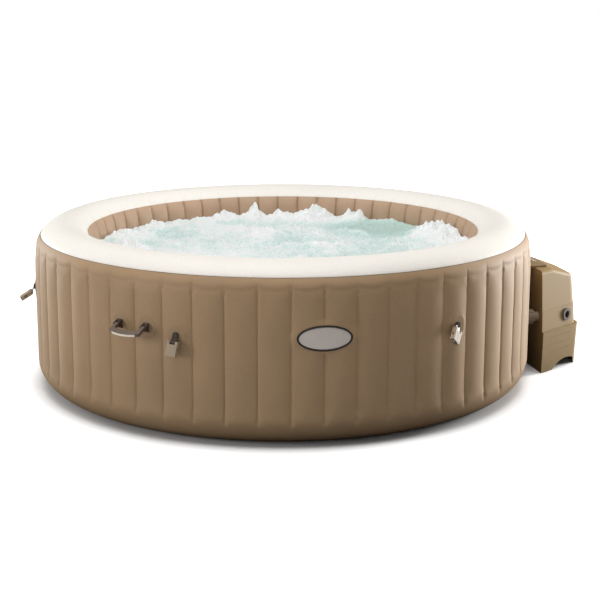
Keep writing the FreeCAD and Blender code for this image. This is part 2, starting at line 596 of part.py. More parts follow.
def make_filter():
    """The filter's pot on the suction port, its cartridge, and the lid that lifts off for cleaning."""
    azimuth, z = port_places()[0]
    y = filter_axis_y()
    z0 = z - FILTER_HEIGHT / 2
    z1 = z0 + FILTER_HEIGHT
    pot = rod(FILTER_RADIUS, (0, y, z0), (0, y, z1))
    neck = rod(PIPE_BORE + PIPE_WALL, (0, y, z), (0, -INNER_RADIUS + 2 * FLANGE_THICKNESS, z))
    hollow = rod(FILTER_RADIUS - FILTER_WALL, (0, y, z0 + FILTER_WALL), (0, y, z1 + 1))
    suction = rod(PIPE_BORE, (0, y, z), (0, -INNER_RADIUS, z))
    window_z0, window_z1 = z0 + 0.2 * FILTER_HEIGHT, z0 + 0.8 * FILTER_HEIGHT
    half = FILTER_SLOT_WIDTH / 2
    slot = box(-half, half, y, y + 2 * FILTER_RADIUS, window_z0, window_z1)
    slots = [swung(slot, V(0, y, 0), Z_AXIS, (k - (FILTER_SLOT_COUNT - 1) / 2) * FILTER_SLOT_STEP)
             for k in range(FILTER_SLOT_COUNT)]
    pot = pot.fuse(neck).cut([hollow, suction] + slots)
    cartridge_z0 = z0 + FILTER_WALL
    cartridge = rod(CARTRIDGE_RADIUS, (0, y, cartridge_z0), (0, y, cartridge_z0 + CARTRIDGE_HEIGHT))
    cartridge = cartridge.cut(rod(CARTRIDGE_BORE, (0, y, z0), (0, y, z1)))
    seat = z1 + LOOSE
    lid = rod(FILTER_RADIUS + FILTER_LID_OVERHANG, (0, y, seat), (0, y, seat + FILTER_LID_HEIGHT / 2))
    spigot = rod(FILTER_RADIUS - FILTER_WALL - LOOSE, (0, y, z1 - FILTER_SPIGOT), (0, y, seat))
    grip_half = FILTER_RADIUS * 0.7
    grip = box(-grip_half, grip_half, y - FILTER_GRIP / 2, y + FILTER_GRIP / 2,
               seat, seat + FILTER_LID_HEIGHT)
    lid = lid.fuse([spigot, grip]).removeSplitter()
    return [turned(p, azimuth) for p in (pot, cartridge, lid)]


def make_drain():
    """The drain pipe through the ring, and the ribbed screw cap on its outer end."""
    outer, z = DRAIN_BORE + DRAIN_WALL, DRAIN_Z
    pipe = rod(outer, (0, -INNER_RADIUS + FLANGE_THICKNESS, z), (0, -TUB_RADIUS - PORT_REACH, z))
    flanges = []
    for wall, clip in ((INNER_RADIUS, inside_wall), (TUB_RADIUS, outside_wall)):
        disc = rod(2 * outer, (0, -wall + SMALL_FLANGE, z), (0, -wall - SMALL_FLANGE, z))
        flanges.append(clip(disc))
    bore = rod(DRAIN_BORE, (0, 0, z), (0, -UNIT_FACE, z))
    fitting = pipe.fuse(flanges).cut(bore).removeSplitter()
    mouth = -TUB_RADIUS - PORT_REACH - LOOSE
    skirt_end, top = mouth + DRAIN_CAP_SKIRT, mouth - DRAIN_CAP_TOP
    cap = rod(DRAIN_CAP_RADIUS, (0, skirt_end, z), (0, top, z))
    cap = cap.cut(rod(outer + LOOSE, (0, skirt_end + 1, z), (0, mouth, z)))
    notches = []
    for k in range(DRAIN_CAP_NOTCHES):
        a = math.radians(k * 360 / DRAIN_CAP_NOTCHES)
        x, zz = DRAIN_CAP_RADIUS * math.sin(a), z + DRAIN_CAP_RADIUS * math.cos(a)
        notches.append(rod(DRAIN_CAP_NOTCH_RADIUS, (x, skirt_end + 1, zz), (x, top - 1, zz)))
    return [turned(p, rib_azimuth(DRAIN_RIB)) for p in (fitting, cap.cut(notches))]


def valve_face():
    return -(TUB_RADIUS + SMALL_FLANGE)


def valve_hinge():
    return V(0, valve_face() - VALVE_HINGE_OUT, VALVE_Z + VALVE_NECK_RADIUS + VALVE_HINGE_UP)


def make_valve():
    """The inflation valve's neck and flange, and its flap on a cross pin above."""
    z, face, hinge = VALVE_Z, valve_face(), valve_hinge()
    mouth = face - VALVE_NECK_OUT
    flange = outside_wall(rod(VALVE_FLANGE_RADIUS, (0, -TUB_RADIUS + SMALL_FLANGE, z), (0, face, z)))
    neck = rod(VALVE_NECK_RADIUS, (0, -TUB_RADIUS + VALVE_NECK_IN, z), (0, mouth, z))
    half, knuckle = VALVE_KNUCKLE_WIDTH / 2, VALVE_KNUCKLE_RADIUS
    ear_x = half + SIDE_PLAY + VALVE_EAR / 2
    ears = [box(x - VALVE_EAR / 2, x + VALVE_EAR / 2, hinge.y - knuckle, face,
                hinge.z - knuckle, hinge.z + knuckle) for x in (-ear_x, ear_x)]
    bore = rod(VALVE_BORE, (0, -INNER_RADIUS, z), (0, mouth - 1, z))
    pin_half = ear_x + VALVE_EAR / 2
    pin = rod(VALVE_PIN_RADIUS, (-pin_half, hinge.y, hinge.z), (pin_half, hinge.y, hinge.z))
    body = flange.fuse([neck] + ears).cut(bore).fuse(pin).removeSplitter()
    lid_back = mouth - SIDE_PLAY
    lid_front = lid_back - VALVE_LID
    lid = rod(VALVE_NECK_RADIUS + VALVE_LID_OVERHANG, (0, lid_back, z), (0, lid_front, z))
    tongue = box(-half, half, lid_front, lid_back, z, hinge.z)
    barrel = rod(knuckle, (-half, hinge.y, hinge.z), (half, hinge.y, hinge.z))
    stopper = rod(VALVE_BORE - 2, (0, lid_back, z), (0, lid_back + VALVE_STOPPER, z))
    pin_hole = rod(VALVE_PIN_RADIUS + PIN_PLAY, (-pin_half, hinge.y, hinge.z), (pin_half, hinge.y, hinge.z))
    lid = lid.fuse([tongue, barrel, stopper]).cut(pin_hole).removeSplitter()
    return [turned(p, rib_azimuth(VALVE_RIB)) for p in (body, lid)]


# ---------------------------------------------------------------- control unit


def unit_corners(inset, back=0.0):
    """The unit's plan, wide at the tub and narrow away from it, drawn in by inset on its free sides."""
    slope = math.tan(UNIT_TAPER)
    near = UNIT_WIDTH / 2 - inset / math.cos(UNIT_TAPER) - back * slope
    depth = UNIT_DEPTH - inset
    far = near - (depth - back) * slope
    y_near, y_far = -(UNIT_FACE + back), -(UNIT_FACE + depth)
    return [(-near, y_near), (-far, y_far), (far, y_far), (near, y_near)]


def rounded_wire(points, radii, z):
    """A closed wire through points, each corner rounded with a tangent arc of its own radius."""
    edges, count, spans = [], len(points), []
    for k, (x, y) in enumerate(points):
        here = V(x, y, z)
        before = (V(*points[k - 1], z) - here).normalize()
        after = (V(*points[(k + 1) % count], z) - here).normalize()
        half = before.getAngle(after) / 2
        if radii[k] == 0:
            spans.append((here, None, here))
            continue
        cut = radii[k] / math.tan(half)
        bisector = (before + after).normalize()
        middle = here + bisector * (radii[k] / math.sin(half) - radii[k])
        spans.append((here + before * cut, middle, here + after * cut))
    for k, (start, middle, end) in enumerate(spans):
        if middle is not None:
            edges.append(Part.Arc(start, middle, end).toShape())
        edges.append(Part.LineSegment(end, spans[(k + 1) % count][0]).toShape())
    return Part.Wire(edges)


def unit_block(z0, z1, inset0, inset1, wall=0.0):
    """A drafted block of the unit's plan. With a wall it is the space inside that block's shell."""
    radii = [0, UNIT_CORNER - wall, UNIT_CORNER - wall, 0]
    wires = [rounded_wire(unit_corners(inset + wall, wall), radii, z)
             for z, inset in ((z0, inset0), (z1, inset1))]
    return Part.makeLoft(wires, True, True)


def side_frame(shape, along, mirror=1):
    """Moves a piece drawn at the origin, facing -Y, to the unit's free side, along mm from the tub edge."""
    copy = shape.copy()
    copy.rotate(V(0, 0, 0), Z_AXIS, -(90 - math.degrees(UNIT_TAPER)))
    start = V(-UNIT_WIDTH / 2, -UNIT_FACE, 0)
    copy.translate(start + V(math.sin(UNIT_TAPER), -math.cos(UNIT_TAPER), 0) * along)
    if mirror < 0:
        copy = copy.mirror(V(0, 0, 0), X_AXIS)
    return copy


def side_length():
    return UNIT_DEPTH / math.cos(UNIT_TAPER)


def arch_cut(length):
    """The cut-out under a side of the base: a sweeping arch that leaves a long and a short foot."""
    end = length - FAR_FOOT
    start = FOOT_LENGTH
    rise = ARCH_HEIGHT
    crown = V(start + (end - start) * 0.2, 0, rise * 0.72)
    shoulder = V(end - ARCH_SHOULDER, 0, rise)
    heel, toe = V(start, 0, -1), V(end, 0, -1)
    outline = Part.Wire([
        Part.Arc(heel, crown, shoulder).toShape(),
        line(shoulder, toe),
        line(toe, heel)])
    reach = 50
    arch = Part.Face(outline).extrude(V(0, 2 * reach, 0))
    arch.translate(V(0, -reach, 0))
    return arch


def make_base():
    """The unit's skirt: a drafted shell, open below, with arches between its feet and a ledge on top."""
    shell = unit_block(0, BASE_TOP, BASE_FOOT_INSET, 0)
    hollow = unit_block(-1, BASE_TOP - UNIT_WALL, BASE_FOOT_INSET, 0, UNIT_WALL)
    rim = LEDGE + UNIT_WALL
    throat = unit_block(BASE_TOP - 2 * UNIT_WALL, BASE_TOP + 1, rim, rim, UNIT_WALL)
    arches = [side_frame(arch_cut(side_length()), 0, m) for m in (1, -1)]
    shell = shell.cut([hollow, throat] + arches)
    return shell.cut([side_groove(GROOVE_Z + k * GROOVE_PITCH) for k in range(GROOVE_COUNT)])


def side_groove(z):
    """A level groove along the two free sides of the base, short of its corners."""
    inset = BASE_FOOT_INSET * (1 - z / BASE_TOP)
    band = unit_block(z, z + GROOVE_WIDTH, inset - 5, inset - 5)
    core = unit_block(z - 1, z + GROOVE_WIDTH + 1, inset + GROOVE_DEPTH, inset + GROOVE_DEPTH)
    start, end = UNIT_FACE + UNIT_CORNER / 2, UNIT_FACE + UNIT_DEPTH - UNIT_CORNER
    span = box(-UNIT_WIDTH, UNIT_WIDTH, -end, -start, z - 2, z + GROOVE_WIDTH + 2)
    return band.cut(core).common(span)


def stub_holes():
    return [turned(rod(PIPE_BORE + PIPE_WALL, (0, 0, z), (0, -stub_end(a) - 9, z)), a - UNIT_AZIMUTH)
            for a, z in port_places()]


def make_body():
    """The middle of the housing, open above and below."""
    top_inset = LEDGE + BODY_DRAFT
    shell = unit_block(BASE_TOP, BODY_TOP, LEDGE, top_inset)
    hollow = unit_block(BASE_TOP, BODY_TOP, LEDGE, top_inset, UNIT_WALL)
    hose_hole = rod(HOSE_PORT_SLEEVE, (0, 60, HOSE_PORT_Z), (0, -60, HOSE_PORT_Z))
    return shell.cut([hollow, side_frame(hose_hole, HOSE_PORT_ALONG)] + stub_holes())


def top_height(y, drop=0.0):
    """The unit's top: flat along the tub, then sloping down to the outer side."""
    slope = (RIDGE_Z - OUTER_TOP_Z) / (UNIT_DEPTH - RIDGE_DEPTH)
    return RIDGE_Z - drop - max(0.0, -UNIT_FACE - RIDGE_DEPTH - y) * slope


def cover_block(wall=0.0, roof=0.0):
    """The unit's cover as a block drawn in by its wall and roof, with sharp edges."""
    start = LEDGE + BODY_DRAFT + COVER_STEP
    y0, y1, y2 = -UNIT_FACE + 100, -UNIT_FACE - RIDGE_DEPTH, -UNIT_FACE - UNIT_DEPTH - 50
    outline = [V(0, y0, 0), V(0, y0, top_height(y0, roof)), V(0, y1, top_height(y1, roof)),
               V(0, y2, top_height(y2, roof)), V(0, y2, 0)]
    below = Part.Face(Part.makePolygon(outline + outline[:1])).extrude(V(2 * UNIT_WIDTH, 0, 0))
    below.translate(V(-UNIT_WIDTH, 0, 0))
    return unit_block(BODY_TOP, RIDGE_Z + 40, start, start + COVER_DRAFT, wall).common(below)


def make_cover():
    """The top of the housing, with soft upper edges on its free sides."""
    block = cover_block()
    edges = []
    for edge in block.Edges:
        mid = edge.valueAt((edge.FirstParameter + edge.LastParameter) / 2)
        on_top = abs(mid.z - top_height(mid.y)) < 0.5
        on_ridge = abs(mid.y + UNIT_FACE + RIDGE_DEPTH) < 1
        if on_top and not on_ridge and mid.y < -UNIT_FACE - 1:
            edges.append(edge)
    block = block.makeFillet(TOP_EDGE_RADIUS, edges)
    return block.cut([cover_block(UNIT_WALL, UNIT_ROOF)] + stub_holes())


def panel_y(share):
    """A place across the control panel, from 0 at the tub to 1 at its far edge."""
    return -(UNIT_FACE - PANEL_OVERHANG + PANEL_DEPTH * share)


def button_places():
    first = -(BUTTON_COUNT - 1) / 2 * BUTTON_PITCH
    return [(first + k * BUTTON_PITCH, panel_y(BUTTON_ROW)) for k in range(BUTTON_COUNT)]


def make_panel():
    """The control panel on the ridge, with a window and a row of holes for the buttons."""
    z0, z1 = RIDGE_Z, RIDGE_Z + PANEL_THICKNESS
    half = PANEL_WIDTH / 2
    plan = [(-half, panel_y(0)), (-half, panel_y(1)), (half, panel_y(1)), (half, panel_y(0))]
    outline = rounded_wire(plan, [PANEL_CORNER] * 4, z0)
    slab = Part.Face(outline).extrude(V(0, 0, PANEL_THICKNESS))
    holes = [rod(BUTTON_RADIUS + BUTTON_PLAY, (x, y, z0 + BUTTON_FLOOR), (x, y, z1 + 1))
             for x, y in button_places()]
    y, half_w, half_d = panel_y(WINDOW_ROW), WINDOW_WIDTH / 2, WINDOW_DEPTH / 2
    glass = box(-half_w, half_w, y - half_d, y + half_d, z1 - WINDOW_THICKNESS, z1)
    return slab.cut(holes + [glass]), glass


def make_button(k):
    x, y = button_places()[k]
    z0 = RIDGE_Z + BUTTON_FLOOR + BUTTON_TRAVEL + BUTTON_PLAY
    return rod(BUTTON_RADIUS, (x, y, z0), (x, y, RIDGE_Z + PANEL_THICKNESS + BUTTON_PROUD))


def make_hose_port():
    """The round air outlet on the unit's side, where the inflation hose goes."""
    inset = LEDGE + BODY_DRAFT * (HOSE_PORT_Z - BASE_TOP) / (BODY_TOP - BASE_TOP)
    z, front, back = HOSE_PORT_Z, inset - HOSE_PORT_PROUD, inset + HOSE_PORT_INSIDE
    collar = side_frame(rod(HOSE_PORT_RADIUS, (0, inset + HOSE_PORT_SEAT, z), (0, front, z)),
                        HOSE_PORT_ALONG)
    collar = collar.cut(unit_block(BASE_TOP, BODY_TOP, LEDGE, LEDGE + BODY_DRAFT))
    sleeve = rod(HOSE_PORT_SLEEVE, (0, back, z), (0, front, z))
    bore = rod(HOSE_PORT_SLEEVE - HOSE_PORT_WALL, (0, back + 1, z), (0, front - 1, z))
    port = collar.fuse(side_frame(sleeve, HOSE_PORT_ALONG)).cut(side_frame(bore, HOSE_PORT_ALONG))
    return port.removeSplitter()


def make_gland():
    """The cable gland on the unit's far side. No cable is fitted."""
    z = GLAND_Z
    gland = rod(GLAND_RADIUS, (0, 8, z), (0, -GLAND_LENGTH, z))
    gland = gland.cut(rod(GLAND_BORE, (0, -GLAND_LENGTH + GLAND_SOCKET, z), (0, -GLAND_LENGTH - 1, z)))
    gland = side_frame(gland, UNIT_DEPTH / 2, -1)
    return gland.cut(unit_block(0, BASE_TOP, BASE_FOOT_INSET, 0))


# ---------------------------------------------------------------- equipment inside the unit


def swept(points, radius):
    """A round bar along straight runs, with mitred elbows."""
    points = [V(*p) for p in points]
    path = Part.Wire([line(p, q) for p, q in zip(points, points[1:])])
    circle = Part.Circle(points[0], points[1] - points[0], radius).toShape()
    return path.makePipeShell([Part.Wire([circle])], True, False, 1)


def hose(*points):
    """A hose with moulded elbows through the given points, hollow from end to end."""
    return swept(points, HOSE_RADIUS).cut(swept(points, HOSE_BORE))


def stub_point(k, beyond=0.0):
    """A point on the axis of pipe joint k, past the end of its stub, in the unit's own frame."""
    azimuth, z = port_places()[k]
    a = math.radians(azimuth - UNIT_AZIMUTH)
    distance = stub_end(azimuth) + beyond
    return (distance * math.sin(a), -distance * math.cos(a), z)


def make_tray():
    hollow = unit_block(-1, BASE_TOP - UNIT_WALL, BASE_FOOT_INSET, 0, UNIT_WALL)
    level = box(-UNIT_WIDTH, UNIT_WIDTH, -2 * UNIT_FACE, 0, TRAY_Z - TRAY_THICKNESS, TRAY_Z)
    return hollow.common(level)


def make_pump():
    """The circulation pump on its foot: the motor, and the wider volute at the suction end."""
    y, z = -UNIT_FACE - PUMP_FROM_FACE, TRAY_Z + PUMP_RISE
    joint = PUMP_X - PUMP_LENGTH
    end = joint - VOLUTE_LENGTH
    middle = PUMP_X - PUMP_LENGTH / 2
    half_l, half_w = PUMP_FOOT_LENGTH / 2, PUMP_FOOT_WIDTH / 2
    motor = rod(PUMP_RADIUS, (joint, y, z), (PUMP_X, y, z))
    volute = rod(VOLUTE_RADIUS, (end, y, z), (joint, y, z))
    foot = box(middle - half_l, middle + half_l, y - half_w, y + half_w, TRAY_Z, z)
    inlet = (end, y, z)
    outlet = (joint - VOLUTE_LENGTH / 2, y, z + VOLUTE_RADIUS)
    return motor.fuse([volute, foot]).removeSplitter(), volute, inlet, outlet


def make_heater():
    """The flow heater, a barrel on two saddles."""
    y, z = -UNIT_FACE - HEATER_FROM_FACE, TRAY_Z + HEATER_RISE
    end = HEATER_X + HEATER_LENGTH
    half = HEATER_RADIUS * 2 / 3
    saddles = [box(x, x + HEATER_SADDLE, y - half, y + half, TRAY_Z, z)
               for x in (HEATER_X + HEATER_SADDLE_INSET, end - HEATER_SADDLE_INSET - HEATER_SADDLE)]
    barrel = rod(HEATER_RADIUS, (HEATER_X, y, z), (end, y, z))
    return barrel.fuse(saddles).removeSplitter(), (HEATER_X, y, z), (end, y, z)


def make_blower():
    """The air blower, and the place of its outlet."""
    x, y, _ = stub_point(2, BLOWER_FROM_STUB)
    top = TRAY_Z + BLOWER_HEIGHT
    return rod(BLOWER_RADIUS, (x, y, TRAY_Z), (x, y, top)), (x, y, top)


def make_circuit_box():
    back = -UNIT_FACE - UNIT_WALL
    z = BODY_TOP + BOARD_LIFT
    return box(-BOARD_WIDTH, 0, back - BOARD_DEPTH, back, z, z + BOARD_HEIGHT)


def make_hoses(volute, pump_inlet, pump_outlet, heater_in, heater_out, blower_out):
    """Suction to the pump, pump to heater, heater to the return, and blower to the air joint."""
    suction_knee = pump_inlet[0] - HOSE_RUN
    level = pump_inlet[2] + VOLUTE_RADIUS + VOLUTE_SUCTION_RISE
    suction = hose(stub_point(0), stub_point(0, HOSE_RUN), (suction_knee, pump_inlet[1], level),
                   (suction_knee, pump_inlet[1], pump_inlet[2]), pump_inlet)
    out_x, out_y, out_z = pump_outlet
    rise = out_z + HOSE_RADIUS + 3
    knee = heater_in[0] - 2 * HOSE_RADIUS + 2
    delivery = hose((out_x, out_y, out_z - 3), (out_x, out_y, rise), (knee, heater_in[1], rise),
                    (knee, heater_in[1], heater_in[2]), heater_in).cut(volute)
    bend_x = heater_out[0] + 35
    back = hose(heater_out, (bend_x, heater_out[1], heater_out[2]),
                (bend_x, heater_out[1], WATER_PORT_Z), stub_point(1, HOSE_RUN), stub_point(1))
    air = hose(blower_out, (blower_out[0], blower_out[1], AIR_PORT_Z), stub_point(2))
    return suction, delivery, back, air


def in_unit(shape):
    return turned(shape, UNIT_AZIMUTH)


def main():
    os.makedirs("parts", exist_ok=True)
    save("outer_wall", make_outer_wall())
    save("inner_wall", make_inner_wall())
    save("top_panel", make_top_panel())
    save("bottom_sheet", make_bottom_sheet())
    save("beam_webs", *make_webs())
    save("bubble_channel", make_air_strip())
    plate, rim = make_badge()
    save("badge_plate", plate)
    save("badge_rim", rim)

    ends = [(rib, side) for rib in HANDLE_RIBS for side in (-1, 1)]
    patch = wall_patch(HANDLE_PATCH_RADIUS, HANDLE_Z)
    save("handle_patches", *[turned(patch, rib_azimuth(rib + side / 2)) for rib, side in ends])
    save("handle_brackets", *[turned(make_handle_bracket(side), rib_azimuth(rib)) for rib, side in ends])
    save("handle_pins", *[turned(make_handle_pin(side), rib_azimuth(rib)) for rib, side in ends])
    bail, strip = make_bail()
    for k, rib in enumerate(HANDLE_RIBS):
        save("handle_bail_%d" % (k + 1), turned(bail, rib_azimuth(rib)))
        save("handle_strip_%d" % (k + 1), turned(strip, rib_azimuth(rib)))

    patch, stud = wall_patch(BUCKLE_PATCH_RADIUS, BUCKLE_Z), make_stud()
    link, socket = make_link(), make_socket()
    save("buckle_patches", *[turned(patch, buckle_azimuth(k)) for k in range(BUCKLE_COUNT)])
    save("buckle_studs", *[turned(stud, buckle_azimuth(k)) for k in range(BUCKLE_COUNT)])
    for k in range(BUCKLE_COUNT):
        save("buckle_link_%d" % (k + 1), placed_buckle(link, k, False))
        save("buckle_socket_%d" % (k + 1), placed_buckle(socket, k, True))

    save("ring_ports", *[make_port(a, z) for a, z in port_places()])
    save("port_seals", *[make_seal(a, z) for a, z in port_places()])
    save("pipe_stubs", *[make_stub(a, z) for a, z in port_places()])
    save("union_nuts", *[make_union_nut(a, z) for a, z in port_places()])
    save("return_grille", make_return_grille())
    pot, cartridge, lid = make_filter()
    save("filter_pot", pot)
    save("filter_cartridge", cartridge)
    save("filter_lid", lid)
    fitting, drain_cap = make_drain()
    save("drain_fitting", fitting)
    save("drain_cap", drain_cap)
    valve, valve_cap = make_valve()
    save("valve_body", valve)
    save("valve_cap", valve_cap)

    save("unit_base", in_unit(make_base()))
    save("unit_body", in_unit(make_body()))
    save("unit_cover", in_unit(make_cover()))
    save("unit_tray", in_unit(make_tray()))
    panel, glass = make_panel()
    save("control_panel", in_unit(panel))
    save("panel_window", in_unit(glass))
    for k in range(BUTTON_COUNT):
        save("button_%d" % (k + 1), in_unit(make_button(k)))
    save("hose_port", in_unit(make_hose_port()))
    save("cord_gland", in_unit(make_gland()))
    pump, volute, inlet, outlet = make_pump()
    heater, heater_in, heater_out = make_heater()
    blower, blower_out = make_blower()
    save("pump_motor", in_unit(pump))
    save("water_heater", in_unit(heater))
    save("air_blower", in_unit(blower))
    save("circuit_box", in_unit(make_circuit_box()))
    hoses = make_hoses(volute, inlet, outlet, heater_in, heater_out, blower_out)
    save("unit_hoses", *[in_unit(h) for h in hoses])


main()
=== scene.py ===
"""The inflatable hot tub dressed for rendering: ribbed vinyl skins, foaming water and moulded plastic."""
import json
import math

import bpy
import numpy as np
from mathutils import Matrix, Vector, noise


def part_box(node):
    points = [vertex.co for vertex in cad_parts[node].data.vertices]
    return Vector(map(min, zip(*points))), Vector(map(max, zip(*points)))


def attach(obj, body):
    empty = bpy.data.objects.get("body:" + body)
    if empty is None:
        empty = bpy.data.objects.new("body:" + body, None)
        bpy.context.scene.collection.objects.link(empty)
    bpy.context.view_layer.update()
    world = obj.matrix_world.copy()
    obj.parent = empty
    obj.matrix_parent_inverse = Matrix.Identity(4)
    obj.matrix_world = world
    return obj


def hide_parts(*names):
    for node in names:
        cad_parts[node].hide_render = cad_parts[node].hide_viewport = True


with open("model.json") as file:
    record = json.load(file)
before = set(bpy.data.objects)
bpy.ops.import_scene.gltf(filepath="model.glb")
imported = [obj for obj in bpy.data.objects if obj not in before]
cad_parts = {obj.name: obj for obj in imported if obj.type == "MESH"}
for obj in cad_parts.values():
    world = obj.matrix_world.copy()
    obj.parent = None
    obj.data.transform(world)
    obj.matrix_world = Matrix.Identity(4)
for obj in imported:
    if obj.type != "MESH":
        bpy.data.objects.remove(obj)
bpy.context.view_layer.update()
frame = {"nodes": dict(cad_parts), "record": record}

# The tub's ring: its reach and heights from the frame, its round top and foot as the solids have them
FOOT_RADIUS = 0.120
TUB_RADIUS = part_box("bottom_sheet")[1].x + FOOT_RADIUS
TUB_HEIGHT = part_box("top_panel")[1].z
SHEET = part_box("bottom_sheet")[1].z
RING_WIDTH = 0.262
CAP_RADIUS = RING_WIDTH / 2
SHOULDER_PROUD = 0.001
RING_CENTRE = TUB_RADIUS + SHOULDER_PROUD - CAP_RADIUS
INNER_RADIUS = RING_CENTRE - CAP_RADIUS
CAP_Z = TUB_HEIGHT - CAP_RADIUS
FOOT_Z = SHEET + FOOT_RADIUS

# The seams of the cream panel, as angles round the ring's top
OUTER_SEAM = math.radians(36.7)
INNER_SEAM = math.radians(140.4)
OUTER_BEAD, INNER_BEAD, BEAD_SUNK = 0.0018, 0.0016, 0.0012
OUTER_PUCKER, INNER_PUCKER = 0.0010, 0.0034
PANEL_TUCK, PANEL_SUNK = 0.0014, 0.0008

# The ribs and the lobes between them
RIB_COUNT = 54
RIB_PHASE = math.radians(1.667)
PITCH = 2 * math.pi / RIB_COUNT
RIB_STEP = math.degrees(PITCH)
LOBE_DEPTH, INNER_LOBE_DEPTH = 0.0095, 0.0114
OUTER_CREASE, INNER_CREASE, CREASE_WIDTH = 0.0022, 0.0060, 0.0035
OUTER_WAIST, INNER_WAIST = 0.0048, 0.0
RIB_LOW, OUTER_RIB_HIGH, INNER_RIB_HIGH = 0.105, 0.600, 0.652
RIB_STRAY = 0.006
PIT_DEPTH, PIT_WIDTH, PIT_HEIGHT = 0.0045, 0.011, 0.015
GATHER_DEPTH, GATHER_REACH, GATHER_WAVES = 0.0011, 0.03, 420
STEPS_PER_LOBE = 20

# What is fixed to the outer wall: azimuth from the front in degrees, and height
HANDLE_AZIMUTHS, HANDLE_Z = (-31.667, 148.333), 0.445
BUCKLE_AZIMUTHS, BUCKLE_Z = [-21.667 + 60 * k for k in range(6)], 0.428
BADGE_AZIMUTH, BADGE_Z = 8.333, 0.432
DRAIN_AZIMUTH, DRAIN_Z = 185.0, 0.152
VALVE_AZIMUTH, VALVE_Z = 125.0, 0.440
UNIT_AZIMUTH = 101.667
PORT_PLACES = ((-1.5, 0.245), (1.5, 0.245), (0.5, 0.330))
BADGE_BAND, BADGE_BAND_RISE, BADGE_BAND_SUNK = 0.0080, 0.0010, 0.0003
WELD_SIZE, WELD_RADII = 0.0006, (0.0400, 0.0455)

# The radial webs end this far inside the lobes, and below the ring's round top
WEB_FROM_OUTER, WEB_FROM_INNER, WEB_BELOW_CAP = 0.006, 0.008, 0.02

# The camera, which looks at the middle of the tub from the front
CAMERA_PITCH, CAMERA_DISTANCE = math.radians(12.87), 6.2335
CAMERA_SENSOR, CAMERA_LENS = 36, 84
CAMERA_SHIFT = (0.0287, -0.0094)

# The water: its level, the crests as azimuth, distance, height and half width, and the calm patch
WATER_Z = 0.566
WATER_RINGS, WATER_STEPS, WATER_OVERLAP = 190, 620, 0.004
CRESTS = [
    (-168.6, 0.720, 0.072, 0.042),
    (-124.0, 0.745, 0.040, 0.070),
    (-148.0, 0.700, 0.018, 0.060),
    (-158.0, 0.745, 0.024, 0.050),
    (-179.0, 0.750, 0.032, 0.038),
    (168.4, 0.730, 0.050, 0.085),
    (152.4, 0.740, 0.048, 0.050),
    (108.5, 0.745, 0.065, 0.095),
    (96.0, 0.700, 0.030, 0.060),
    (-104.0, 0.745, 0.022, 0.050),
]
CALM_CENTRE = (0.49, 0.44)
CALM_SIZE = (0.36, 0.26)


# ---------------------------------------------------------------- materials


def new_material(name, color, roughness):
    mat = bpy.data.materials.new(name)
    mat.use_nodes = True
    tree = mat.node_tree
    shader = tree.nodes["Principled BSDF"]
    shader.inputs["Base Color"].default_value = (*color, 1)
    shader.inputs["Roughness"].default_value = roughness
    return mat, tree, shader


def node(tree, kind, **values):
    """A new shader node with its settings or inputs filled in."""
    n = tree.nodes.new(kind)
    for key, value in values.items():
        if hasattr(n, key):
            setattr(n, key, value)
        else:
            n.inputs[key.replace("_", " ")].default_value = value
    return n


def noise_node(tree, scale, detail=4.0, roughness=0.55, stretch=(1, 1, 1)):
    coords = node(tree, "ShaderNodeTexCoord")
    mapping = node(tree, "ShaderNodeMapping")
    mapping.inputs["Scale"].default_value = stretch
    tree.links.new(coords.outputs["Object"], mapping.inputs["Vector"])
    tex = node(tree, "ShaderNodeTexNoise", Scale=scale, Detail=detail, Roughness=roughness)
    tree.links.new(mapping.outputs["Vector"], tex.inputs["Vector"])
    return tex


def ramp(tree, source, stops):
    """A colour for each value of the source, from stops of a position and a colour."""
    r = node(tree, "ShaderNodeValToRGB")
    elements = r.color_ramp.elements
    while len(elements) < len(stops):
        elements.new(0.5)
    for element, (position, color) in zip(elements, stops):
        element.position = position
        element.color = (*color, 1)
    tree.links.new(source, r.inputs["Fac"])
    return r


def map_range(tree, source, from_low, from_high, to_low, to_high):
    n = node(tree, "ShaderNodeMapRange")
    ends = {"From Min": from_low, "From Max": from_high, "To Min": to_low, "To Max": to_high}
    for key, value in ends.items():
        n.inputs[key].default_value = value
    tree.links.new(source, n.inputs["Value"])
    return n.outputs["Result"]


def math_node(tree, operation, *values):
    """The result of a sum on numbers and the outputs of other nodes."""
    n = node(tree, "ShaderNodeMath", operation=operation)
    for entry, value in zip(n.inputs, values):
        if isinstance(value, float):
            entry.default_value = value
        else:
            tree.links.new(value, entry)
    return n.outputs[0]


def bump(tree, height, distance, strength=1.0, before=None):
    b = node(tree, "ShaderNodeBump")
    b.inputs["Strength"].default_value = strength
    b.inputs["Distance"].default_value = distance
    tree.links.new(height, b.inputs["Height"])
    if before is not None:
        tree.links.new(before.outputs["Normal"], b.inputs["Normal"])
    return b


def shade(color, factor):
    return tuple(min(1.0, c * factor) for c in color)


def mottled(tree, color, spread, scale, detail):
    """The colour, a little darker and lighter from place to place."""
    slow = noise_node(tree, scale, detail=detail)
    return ramp(tree, slow.outputs["Fac"],
                [(0.3, shade(color, 1 - spread)), (0.7, shade(color, 1 + spread))])


